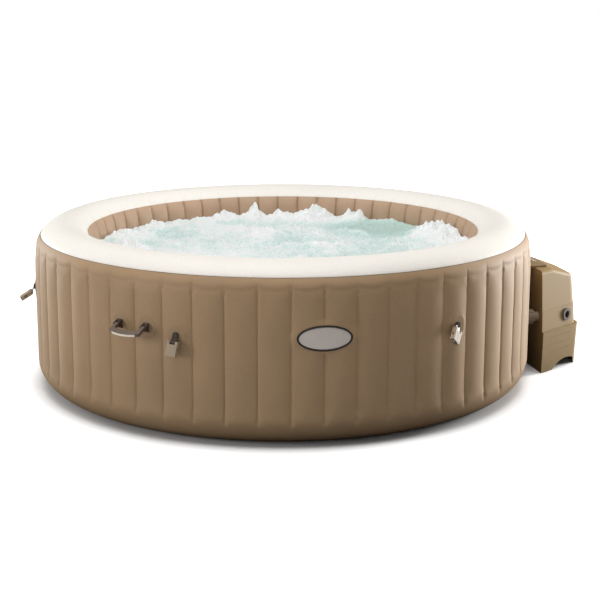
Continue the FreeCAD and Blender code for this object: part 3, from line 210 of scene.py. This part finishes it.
def vinyl(name, color, roughness, spread, weave=0.00022):
    """Laminated sheet: a fine pressed weave, slow changes of tone and faint wrinkles."""
    mat, tree, shader = new_material(name, color, roughness)
    tone = mottled(tree, color, spread, 3.2, 3.0)
    speck = noise_node(tree, 260.0, detail=2.0)
    grain = ramp(tree, speck.outputs["Fac"], [(0.35, (0.90, 0.90, 0.90)), (0.65, (1.0, 1.0, 1.0))])
    mix = node(tree, "ShaderNodeMix", data_type="RGBA", blend_type="MULTIPLY")
    mix.inputs["Factor"].default_value = 1.0
    tree.links.new(tone.outputs["Color"], mix.inputs[6])
    tree.links.new(grain.outputs["Color"], mix.inputs[7])
    tree.links.new(mix.outputs[2], shader.inputs["Base Color"])
    fine = noise_node(tree, 700.0, detail=2.0)
    wrinkle = noise_node(tree, 26.0, detail=5.0, roughness=0.6, stretch=(1, 1, 0.5))
    first = bump(tree, wrinkle.outputs["Fac"], 0.0012, 0.5)
    second = bump(tree, fine.outputs["Fac"], weave, 0.6, before=first)
    tree.links.new(second.outputs["Normal"], shader.inputs["Normal"])
    shader.inputs["Specular IOR Level"].default_value = 0.35
    return mat


def plastic(name, color, roughness, grain=0.0002, spread=0.05, specular=0.5, metallic=0.0):
    """Moulded plastic with a fine sparked grain and slight changes of tone, or bare metal."""
    mat, tree, shader = new_material(name, color, roughness)
    shader.inputs["Specular IOR Level"].default_value = specular
    shader.inputs["Metallic"].default_value = metallic
    tone = mottled(tree, color, spread, 14.0, 4.0)
    tree.links.new(tone.outputs["Color"], shader.inputs["Base Color"])
    fine = noise_node(tree, 900.0, detail=2.0)
    skin = bump(tree, fine.outputs["Fac"], grain, 0.5)
    tree.links.new(skin.outputs["Normal"], shader.inputs["Normal"])
    scuffs = noise_node(tree, 60.0, detail=6.0, roughness=0.7)
    rough = map_range(tree, scuffs.outputs["Fac"], 0.0, 1.0, roughness - 0.06, roughness + 0.08)
    tree.links.new(rough, shader.inputs["Roughness"])
    return mat


def foam_material():
    """Aerated water: fine white foam, thinner and pale green where the water is calm, with a faint painted
    glow.
    """
    mat, tree, shader = new_material("foaming_water", (0.85, 0.93, 0.90), 0.30)
    coords = node(tree, "ShaderNodeTexCoord")

    # Slow patches and fine froth, mixed
    patches = noise_node(tree, 3.2, detail=8.0, roughness=0.62)
    small = noise_node(tree, 85.0, detail=5.0, roughness=0.72)
    fine = math_node(tree, "MULTIPLY", small.outputs["Fac"], 0.55)
    mixed = math_node(tree, "MULTIPLY_ADD", patches.outputs["Fac"], 0.45, fine)

    # Less of it in the calm patch, which has a ragged edge
    place = node(tree, "ShaderNodeMapping", vector_type="TEXTURE")
    place.inputs["Location"].default_value = (*CALM_CENTRE, WATER_Z)
    place.inputs["Scale"].default_value = (*CALM_SIZE, 1.0)
    tree.links.new(coords.outputs["Object"], place.inputs["Vector"])
    ball = node(tree, "ShaderNodeTexGradient", gradient_type="SPHERICAL")
    tree.links.new(place.outputs["Vector"], ball.inputs["Vector"])
    calm = map_range(tree, ball.outputs["Fac"], 0.05, 0.50, 0.0, 1.0)
    edge = map_range(tree, patches.outputs["Fac"], 0.30, 0.60, 0.3, 1.1)
    ragged = math_node(tree, "MULTIPLY", calm, edge)
    thinned = math_node(tree, "MULTIPLY_ADD", ragged, -0.20, mixed)

    # More of it on what stands up
    split = node(tree, "ShaderNodeSeparateXYZ")
    tree.links.new(coords.outputs["Object"], split.inputs[0])
    raised = map_range(tree, split.outputs["Z"], WATER_Z + 0.010, WATER_Z + 0.040, -0.03, 0.16)
    whitened = math_node(tree, "ADD", thinned, raised)
    tone = ramp(tree, whitened, [(0.26, (0.44, 0.62, 0.55)), (0.38, (0.58, 0.74, 0.70)),
                                 (0.47, (0.76, 0.86, 0.84)), (0.53, (0.92, 0.94, 0.93))])
    tree.links.new(tone.outputs["Color"], shader.inputs["Base Color"])
    # Painted light: the foam also glows faintly in its own colour
    tree.links.new(tone.outputs["Color"], shader.inputs["Emission Color"])
    shader.inputs["Emission Strength"].default_value = 0.10

    # Bubbles
    bubbles = node(tree, "ShaderNodeTexVoronoi", Scale=190.0)
    tree.links.new(coords.outputs["Object"], bubbles.inputs["Vector"])
    first = bump(tree, small.outputs["Fac"], 0.016, 0.8)
    second = bump(tree, bubbles.outputs["Distance"], 0.004, 0.6, before=first)
    tree.links.new(second.outputs["Normal"], shader.inputs["Normal"])
    shader.inputs["Subsurface Weight"].default_value = 0.12
    shader.inputs["Subsurface Radius"].default_value = (0.006, 0.010, 0.009)
    shader.inputs["Subsurface Scale"].default_value = 0.5
    return mat


TAN = (0.400, 0.262, 0.145)
MATERIALS = {
    "wall": vinyl("tan_vinyl", TAN, 0.62, 0.05),
    "lining": vinyl("lining_vinyl", (0.48, 0.325, 0.215), 0.55, 0.06),
    "rim": vinyl("cream_vinyl", (0.84, 0.80, 0.735), 0.5, 0.015, weave=0.0001),
    "seam": plastic("seam_weld", (0.16, 0.11, 0.07), 0.6),
    "floor_sheet": vinyl("floor_vinyl", (0.42, 0.30, 0.20), 0.55, 0.06),
    "web": vinyl("web_vinyl", (0.7, 0.68, 0.62), 0.6, 0.04),
    "badge_field": plastic("badge_field", (0.62, 0.55, 0.50), 0.45, grain=0.0001),
    "badge_edge": plastic("badge_edge", (0.022, 0.014, 0.010), 0.4, grain=0.0001),
    "patch": vinyl("patch_vinyl", shade(TAN, 0.92), 0.5, 0.04),
    "bracket": plastic("bracket_plastic", (0.055, 0.030, 0.024), 0.35),
    "bail": plastic("bail_plastic", (0.135, 0.100, 0.075), 0.30),
    "strip": plastic("strip_plastic", (0.92, 0.84, 0.70), 0.4),
    "pin": plastic("pin_plastic", (0.03, 0.02, 0.02), 0.4),
    "socket": plastic("socket_plastic", (0.37, 0.29, 0.205), 0.5, specular=0.3),
    "link": plastic("link_plastic", (0.05, 0.035, 0.025), 0.35),
    "pipe": plastic("pipe_plastic", (0.28, 0.22, 0.16), 0.45),
    "seal": plastic("seal_rubber", (0.02, 0.02, 0.02), 0.7),
    "white": plastic("white_plastic", (0.80, 0.80, 0.78), 0.4),
    "paper": vinyl("filter_paper", (0.82, 0.82, 0.79), 0.9, 0.04, weave=0.0008),
    "shell": plastic("shell_plastic", (0.305, 0.208, 0.098), 0.55, grain=0.0004, spread=0.035,
                     specular=0.2),
    "panel": plastic("panel_plastic", (0.27, 0.19, 0.10), 0.35),
    "glass": plastic("window_plastic", (0.02, 0.025, 0.03), 0.12, grain=0.00002),
    "button": plastic("button_plastic", (0.60, 0.54, 0.46), 0.4),
    "dark": plastic("dark_plastic", (0.09, 0.07, 0.055), 0.45),
    "motor": plastic("motor_paint", (0.03, 0.03, 0.033), 0.45),
    "steel": plastic("tube_steel", (0.55, 0.55, 0.56), 0.3, metallic=1.0),
    "water": foam_material(),
}


def dress_nodes():
    """Gives each carried-over CAD node the material of its slot in the record."""
    slots = {s["node"]: s["material_slot"] for s in frame["record"]["subparts"]}
    for name, obj in frame["nodes"].items():
        for slot in obj.material_slots:
            slot.material = MATERIALS[slots[name]]


# ---------------------------------------------------------------- mesh helpers


def smoothstep(low, high, x):
    t = np.clip((x - low) / (high - low), 0, 1)
    return t * t * (3 - 2 * t)


def grid_piece(name, points, material, body):
    """A smooth mesh from a rows x columns grid of points, closed round its columns."""
    rows, columns, _ = points.shape
    here = np.arange(rows * columns).reshape(rows, columns)
    following = np.roll(here, -1, axis=1)
    faces = np.stack([here[:-1], following[:-1], following[1:], here[1:]], axis=-1).reshape(-1, 4)
    mesh = bpy.data.meshes.new(name)
    mesh.from_pydata(points.reshape(-1, 3).tolist(), [], faces.tolist())
    mesh.shade_smooth()
    obj = bpy.data.objects.new(name, mesh)
    bpy.context.scene.collection.objects.link(obj)
    mesh.materials.append(material)
    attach(obj, body)
    return obj


def azimuth_steps():
    """Azimuths round the tub, close together at the ribs and wide apart on the lobes."""
    v = np.linspace(-1, 1, STEPS_PER_LOBE + 1)[:-1]
    u = v * (1.5 - 0.5 * v * v)
    lobe = RIB_PHASE + PITCH * (0.5 + u / 2)
    phi = (lobe[None, :] + PITCH * np.arange(RIB_COUNT)[:, None]).reshape(-1)
    return phi, np.tile(u, RIB_COUNT)


def around(azimuth, distance, height):
    """A place round the tub, by its azimuth from the front in degrees."""
    a = math.radians(azimuth)
    return (distance * math.sin(a), -distance * math.cos(a), height)


def ring_points(phi, radius, height):
    """Points at azimuths in radians from the front, as a grid of the shape that the radii have."""
    return np.stack([radius * np.sin(phi), -radius * np.cos(phi), np.broadcast_to(height, radius.shape)],
                    axis=-1)


def wrapped(angle):
    return (angle + math.pi) % (2 * math.pi) - math.pi


def handle_patches():
    """Name and azimuth of the two patches of each carry handle."""
    for number, azimuth in enumerate(HANDLE_AZIMUTHS, 1):
        yield f"handle_{number}_left", azimuth - RIB_STEP / 2
        yield f"handle_{number}_right", azimuth + RIB_STEP / 2


def flat_spots(phi, z):
    """Where something is welded to the outer wall it lies flat: 1 there, 0 away from it."""
    # Each spot is an azimuth, a height, half a width, half a height and the softness of its edge
    spots = [(azimuth, BUCKLE_Z, 0.036, 0.036, 0.5) for azimuth in BUCKLE_AZIMUTHS]
    spots += [(azimuth, HANDLE_Z, 0.038, 0.038, 0.5) for _, azimuth in handle_patches()]
    spots += [(UNIT_AZIMUTH + ribs * RIB_STEP, height, 0.041, 0.041, 0.4) for ribs, height in PORT_PLACES]
    spots.append((BADGE_AZIMUTH, BADGE_Z, 0.107, 0.052, 0.35))
    spots.append((DRAIN_AZIMUTH, DRAIN_Z, 0.029, 0.029, 0.6))
    spots.append((VALVE_AZIMUTH, VALVE_Z, 0.027, 0.027, 0.6))
    weight = np.zeros(np.broadcast(phi, z).shape)
    for azimuth, height, half_width, half_height, soft in spots:
        x = wrapped(phi - math.radians(azimuth)) * TUB_RADIUS / half_width
        y = (z - height) / half_height
        weight = np.maximum(weight, 1 - smoothstep(1.0, 1.0 + soft, np.sqrt(x * x + y * y)))
    return weight


def rib_noise(phi, salt):
    """A slow random number for each azimuth, so that no two lobes are quite alike."""
    return np.array([noise.noise(Vector((math.cos(a) * 6, math.sin(a) * 6, salt))) for a in phi])


def side_profile(sign, seam_angle):
    """Radius, height and outward normal down one side of the ring, from its seam to the sheet."""
    side_x = RING_CENTRE + sign * CAP_RADIUS
    foot_x = side_x - sign * FOOT_RADIUS
    seam = seam_angle if sign > 0 else math.pi - seam_angle
    profile = []
    for t in np.linspace(seam, 0, 26):
        profile.append((RING_CENTRE + sign * CAP_RADIUS * math.cos(t), CAP_Z + CAP_RADIUS * math.sin(t),
                        sign * math.cos(t), math.sin(t)))
    for z in np.linspace(CAP_Z, FOOT_Z, 40)[1:]:
        profile.append((side_x, z, sign, 0.0))
    for t in np.linspace(0, math.pi / 2, 24)[1:]:
        profile.append((foot_x + sign * FOOT_RADIUS * math.cos(t), FOOT_Z - FOOT_RADIUS * math.sin(t),
                        sign * math.cos(t), -math.sin(t)))
    profile.append((RING_CENTRE, SHEET, 0.0, -1.0))
    return np.array(profile)


def ribbed_skin(name, sign, seam_angle, rib_high, material, node_name,
                depth, crease_depth, waist_depth):
    """One side wall of the ring with its lobes, creases, and the dimples at the ends of each rib."""
    phi, u = azimuth_steps()
    profile = side_profile(sign, seam_angle)
    radius, z, nr, nz = (profile[:, k][:, None] for k in range(4))
    edge = (1 - np.abs(u)) * PITCH / 2 * TUB_RADIUS
    wander = RIB_STRAY * rib_noise(phi, 3.1)
    low, high = RIB_LOW + wander, rib_high + wander
    span = smoothstep(low - 0.012, low + 0.05, z) * (1 - smoothstep(high - 0.045, high + 0.012, z))
    lobes = depth * (1 + 0.22 * rib_noise(phi, 7.7)) * u * u
    crease = np.exp(-(edge / CREASE_WIDTH) ** 2)
    inside = smoothstep(low - 0.004, low + 0.004, z) * (1 - smoothstep(high - 0.004, high + 0.004, z))
    pits = sum(np.exp(-(edge / PIT_WIDTH) ** 2 - ((z - end) / PIT_HEIGHT) ** 2) for end in (low, high))
    gathers = np.exp(-((z - high) / GATHER_REACH) ** 2 - (edge / GATHER_REACH) ** 2)
    gathers = gathers * np.sin(edge * GATHER_WAVES + 4 * rib_noise(phi, 1.3))
    flat = flat_spots(phi, z) if sign > 0 else 0.0
    waist = rib_high + 0.006 + 0.012 * u * u + wander
    reach = np.where(z > waist, 0.014, 0.055)
    valley = waist_depth * (1 + 0.5 * rib_noise(phi, 11.0)) * np.exp(-((z - waist) / reach) ** 2)
    inward = span * lobes + inside * crease * crease_depth + valley
    inward = (inward + PIT_DEPTH * pits + GATHER_DEPTH * gathers) * (1 - flat)
    points = ring_points(phi, radius - inward * nr, z - inward * nz)
    obj = grid_piece(name, points, material, "tub")
    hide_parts(node_name)
    return obj


def top_panel():
    """The crowned cream panel, slightly puckered along both of its seams."""
    phi, u = azimuth_steps()
    t = np.linspace(OUTER_SEAM, INNER_SEAM, 44)[:, None]
    near_outer = np.exp(-((t - OUTER_SEAM) / 0.16) ** 2)
    near_inner = np.exp(-((INNER_SEAM - t) / 0.20) ** 2)
    edge = (1 - np.abs(u)) * PITCH / 2 * TUB_RADIUS
    pucker = (OUTER_PUCKER * near_outer * np.exp(-(edge / 0.016) ** 2)
              + INNER_PUCKER * near_inner * np.exp(-(edge / 0.010) ** 2))
    slow = 0.0008 * rib_noise(phi, 5.0)[None, :]
    tuck = sum(np.exp(-((t - seam) / 0.030) ** 2) for seam in (OUTER_SEAM, INNER_SEAM))
    radius = CAP_RADIUS - PANEL_SUNK - pucker - PANEL_TUCK * tuck + slow
    points = ring_points(phi, RING_CENTRE + radius * np.cos(t), CAP_Z + radius * np.sin(t))
    obj = grid_piece("cream_top", points, MATERIALS["rim"], "tub")
    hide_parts("top_panel")


def bead(name, angle, size, material):
    """The welded bead that runs along a seam."""
    phi, _ = azimuth_steps()
    centre_r = RING_CENTRE + (CAP_RADIUS - BEAD_SUNK) * math.cos(angle)
    centre_z = CAP_Z + (CAP_RADIUS - BEAD_SUNK) * math.sin(angle)
    t = np.linspace(0, 2 * math.pi, 9)[:, None]
    uneven = size * (1 + 0.18 * rib_noise(phi, 9.0))[None, :]
    points = ring_points(phi, centre_r + uneven * np.cos(t), centre_z + uneven * np.sin(t))
    grid_piece(name, points, material, "tub")


def weld_rings(name, skin, azimuth, height):
    """The faint raised circles that welding a patch leaves in the wall round it."""
    for number, radius in enumerate(WELD_RADII, 1):
        centres, normals = [], []
        for turn in np.linspace(0, 2 * math.pi, 73):
            a = math.radians(azimuth) + radius * math.cos(turn) / TUB_RADIUS
            start = (TUB_RADIUS * math.sin(a), -TUB_RADIUS * math.cos(a), height + radius * math.sin(turn))
            _, place, normal, _ = skin.closest_point_on_mesh(start)
            centres.append(np.array(place))
            normals.append(np.array(normal))
        centres, normals = np.array(centres), np.array(normals)
        along = np.roll(centres, -1, axis=0) - np.roll(centres, 1, axis=0)
        side = np.cross(along, normals)
        side /= np.linalg.norm(side, axis=1)[:, None]
        around_tube = np.linspace(0, 2 * math.pi, 7)[:, None, None]
        section = 2.2 * np.cos(around_tube) * side[:-1] + np.sin(around_tube) * normals[:-1]
        tube = centres[:-1] + WELD_SIZE * section
        grid_piece(f"{name}_{number}", tube, MATERIALS["wall"], "tub")


def badge_border():
    """The raised dark band round the badge's field, bent round the tub as the badge is."""
    a = math.radians(BADGE_AZIMUTH)
    sideways = np.array([math.cos(a), math.sin(a), 0])
    outward = np.array([math.sin(a), -math.cos(a), 0])
    upward = np.array([0, 0, 1.0])
    rim = np.array([v.co for v in frame["nodes"]["badge_rim"].data.vertices])
    half_width, half_height = np.ptp(rim @ sideways) / 2, np.ptp(rim[:, 2]) / 2
    centre_z, face = rim[:, 2].min() + half_height, (rim @ outward).max()
    turn = np.linspace(0, 2 * math.pi, 144, endpoint=False)[None, :, None]
    across = np.linspace(0, 1, 9)[:, None, None]
    inset = BADGE_BAND * across
    crown = np.sqrt(np.clip(1 - (2 * across - 1) ** 2, 0, 1))
    reach = face - BADGE_BAND_SUNK + BADGE_BAND_RISE * crown
    aside = (half_width - inset) * np.cos(turn)
    height = (half_height - inset) * np.sin(turn) + centre_z
    points = aside * sideways + np.sqrt(reach ** 2 - aside ** 2) * outward + height * upward
    grid_piece("badge_border", points, MATERIALS["badge_edge"], "tub")


def beam_webs():
    """The radial webs inside the ring, one behind each rib, drawn in to the ribs' bottoms."""
    outer = TUB_RADIUS - LOBE_DEPTH - WEB_FROM_OUTER
    inner = INNER_RADIUS + LOBE_DEPTH + WEB_FROM_INNER
    low, high = FOOT_Z, CAP_Z - WEB_BELOW_CAP
    corners = ((inner, low), (outer, low), (outer, high), (inner, high))
    verts, faces = [], []
    for k in range(RIB_COUNT):
        azimuth = math.degrees(RIB_PHASE) + k * RIB_STEP
        start = len(verts)
        verts += [around(azimuth, r, z) for r, z in corners]
        faces.append(tuple(range(start, start + 4)))
    mesh = bpy.data.meshes.new("webs")
    mesh.from_pydata(verts, [], faces)
    obj = bpy.data.objects.new("inner_webs", mesh)
    bpy.context.scene.collection.objects.link(obj)
    mesh.materials.append(MATERIALS["web"])
    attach(obj, "tub")
    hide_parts("beam_webs")


# ---------------------------------------------------------------- water


def foam_height(x, y):
    """Height of the foaming water: swells, churned crests and a scatter of small splashes."""
    across, along = (x - CALM_CENTRE[0]) / CALM_SIZE[0], (y - CALM_CENTRE[1]) / CALM_SIZE[1]
    calm = math.exp(-2.2 * (across * across + along * along))
    swell = noise.fractal(Vector((x * 2.6, y * 2.6, 0.7)), 0.9, 2.1, 4) * 0.014
    churn = noise.turbulence(Vector((x * 9, y * 9, 3.1)), 4, True) * 0.018
    crest = max(0.0, noise.noise(Vector((x * 5.0 + 3, y * 5.0, 8.2))) - 0.20) * 0.09 * (1 - calm)
    warp_x = 0.020 * noise.noise(Vector((x * 18, y * 18, 5.5)))
    warp_y = 0.020 * noise.noise(Vector((x * 18, y * 18, 9.5)))
    for azimuth, distance, height, width in CRESTS:
        cx, cy, _ = around(azimuth, distance, 0)
        away = math.hypot(x + warp_x - cx, y + warp_y - cy) / width
        crest += height * math.exp(-away * away)
    froth = noise.fractal(Vector((x * 48, y * 48, 1.9)), 0.5, 2.2, 4) * 0.0075
    rough = 0.6 + min(1.1, crest * 22)
    jagged = 0.85 + 0.7 * noise.noise(Vector((x * 36, y * 36, 0)))
    return (swell + churn) * (1 - 0.65 * calm) + crest * jagged + froth * rough * (1 - 0.5 * calm)


def water():
    """The foaming surface, a dense round grid that ends against the inner wall."""
    phi = np.linspace(0, 2 * math.pi, WATER_STEPS, endpoint=False)
    radii = (INNER_RADIUS + WATER_OVERLAP) * np.linspace(0.004, 1, WATER_RINGS)
    points = ring_points(phi, radii[:, None] * np.ones(WATER_STEPS), WATER_Z)
    for point in points.reshape(-1, 3):
        point[2] += foam_height(point[0], point[1])
    grid_piece("bubbling_water", points[::-1], MATERIALS["water"], "tub")


# ---------------------------------------------------------------- camera and light


def camera():
    data = bpy.data.cameras.new("camera")
    obj = bpy.data.objects.new("camera", data)
    bpy.context.scene.collection.objects.link(obj)
    target = Vector((0, 0, TUB_HEIGHT / 2))
    offset = Vector((0, -math.cos(CAMERA_PITCH), math.sin(CAMERA_PITCH))) * CAMERA_DISTANCE
    obj.location = target + offset
    obj.rotation_euler = (-offset).to_track_quat("-Z", "Y").to_euler()
    data.sensor_width = CAMERA_SENSOR
    data.lens = CAMERA_LENS
    data.shift_x, data.shift_y = CAMERA_SHIFT
    bpy.context.scene.camera = obj


def area_light(name, location, target, size, energy, color=(1, 1, 1)):
    data = bpy.data.lights.new(name, "AREA")
    data.shape = "RECTANGLE"
    data.size, data.size_y = size
    data.energy = energy
    data.color = color
    obj = bpy.data.objects.new(name, data)
    obj.location = location
    obj.rotation_euler = (Vector(target) - Vector(location)).to_track_quat("-Z", "Y").to_euler()
    bpy.context.scene.collection.objects.link(obj)


def studio():
    """The floor, the white surround and five soft lights, in watts."""
    mesh = bpy.data.meshes.new("floor")
    half = 30.0
    corners = [(-half, -half, 0), (half, -half, 0), (half, half, 0), (-half, half, 0)]
    mesh.from_pydata(corners, [], [(0, 1, 2, 3)])
    floor = bpy.data.objects.new("floor", mesh)
    bpy.context.scene.collection.objects.link(floor)
    mesh.materials.append(floor_material())
    white_surround()
    area_light("top", (0, -0.9, 6.0), (0, -0.1, 0.3), (6.0, 5.0), 375)
    area_light("front", (0.6, -5.4, 2.0), (0.1, 0, 0.4), (2.4, 1.4), 12)
    area_light("left", around(-62, 5.6, 1.3), (-0.6, -0.5, 0.35), (1.8, 2.4), 92)
    area_light("left_edge", around(-122, 5.4, 0.9), (-0.8, 0.2, 0.35), (1.2, 1.7), 130, (0.93, 0.97, 1.0))
    area_light("right_edge", around(112, 5.4, 0.9), (0.8, 0.2, 0.35), (1.4, 1.7), 330)
    bpy.context.scene.view_settings.view_transform = "Standard"


def camera_mix(tree, seen, lit, kind):
    """One thing for the camera and a dimmer one for the light that falls on the object."""
    paths = node(tree, "ShaderNodeLightPath")
    mix = node(tree, "ShaderNodeMixShader")
    tree.links.new(paths.outputs["Is Camera Ray"], mix.inputs["Fac"])
    tree.links.new(lit, mix.inputs[1])
    tree.links.new(seen, mix.inputs[2])
    tree.links.new(mix.outputs["Shader"], tree.nodes[kind].inputs["Surface"])


def white_surround():
    """A world that the camera sees as white and that lights the tub only a little."""
    world = bpy.data.worlds.new("studio")
    bpy.context.scene.world = world
    world.use_nodes = True
    tree = world.node_tree
    seen = tree.nodes["Background"]
    seen.inputs["Color"].default_value = (1, 1, 1, 1)
    seen.inputs["Strength"].default_value = 1.0
    lit = node(tree, "ShaderNodeBackground")
    lit.inputs["Color"].default_value = (1, 1, 1, 1)
    lit.inputs["Strength"].default_value = 0.13
    camera_mix(tree, seen.outputs["Background"], lit.outputs["Background"], "World Output")


def floor_material():
    """A plain white floor that glows for the camera, with a painted shadow at the tub's foot, and that
    sends back less light than it shows, with painted shade near the tub.
    """
    mat, tree, shader = new_material("floor", (0.90, 0.90, 0.90), 0.9)
    shader.inputs["Specular IOR Level"].default_value = 0.0
    shader.inputs["Emission Color"].default_value = (1, 1, 1, 1)
    near = node(tree, "ShaderNodeAmbientOcclusion", samples=8)
    near.inputs["Distance"].default_value = 0.16
    coords = node(tree, "ShaderNodeTexCoord")
    away = node(tree, "ShaderNodeVectorMath", operation="LENGTH")
    tree.links.new(coords.outputs["Object"], away.inputs[0])
    # Painted shadow: the floor's glow fades out where the tub's foot closes round it
    painted_contact_shadow = map_range(tree, near.outputs["AO"], 0.45, 0.90, 0.0, 1.0)
    brighter = map_range(tree, away.outputs["Value"], 1.5, 5.0, 0.66, 1.0)
    tree.links.new(math_node(tree, "MULTIPLY", painted_contact_shadow, brighter), shader.inputs["Emission Strength"])
    # Painted shade: the light that the floor sends back is darker near the tub
    dim = node(tree, "ShaderNodeBsdfDiffuse")
    wide = node(tree, "ShaderNodeAmbientOcclusion", samples=8)
    wide.inputs["Distance"].default_value = 0.70
    shadowed = ramp(tree, wide.outputs["AO"], [(0.50, (0.01, 0.01, 0.01)), (0.95, (0.55, 0.55, 0.55))])
    tree.links.new(shadowed.outputs["Color"], dim.inputs["Color"])
    camera_mix(tree, shader.outputs["BSDF"], dim.outputs["BSDF"], "Material Output")
    return mat


def main():
    dress_nodes()
    skin = ribbed_skin("ribbed_outer_skin", 1, OUTER_SEAM, OUTER_RIB_HIGH, MATERIALS["wall"],
                       "outer_wall", LOBE_DEPTH, OUTER_CREASE, OUTER_WAIST)
    ribbed_skin("ribbed_inner_skin", -1, INNER_SEAM, INNER_RIB_HIGH, MATERIALS["lining"],
                "inner_wall", INNER_LOBE_DEPTH, INNER_CREASE, INNER_WAIST)
    for number, azimuth in enumerate(BUCKLE_AZIMUTHS, 1):
        weld_rings(f"buckle_{number}_weld", skin, azimuth, BUCKLE_Z)
    for patch, azimuth in handle_patches():
        weld_rings(f"{patch}_weld", skin, azimuth, HANDLE_Z)
    badge_border()
    top_panel()
    beam_webs()
    bead("outer_seam_bead", OUTER_SEAM, OUTER_BEAD, MATERIALS["seam"])
    bead("inner_seam_bead", INNER_SEAM, INNER_BEAD, MATERIALS["lining"])
    water()
    camera()
    studio()


main()
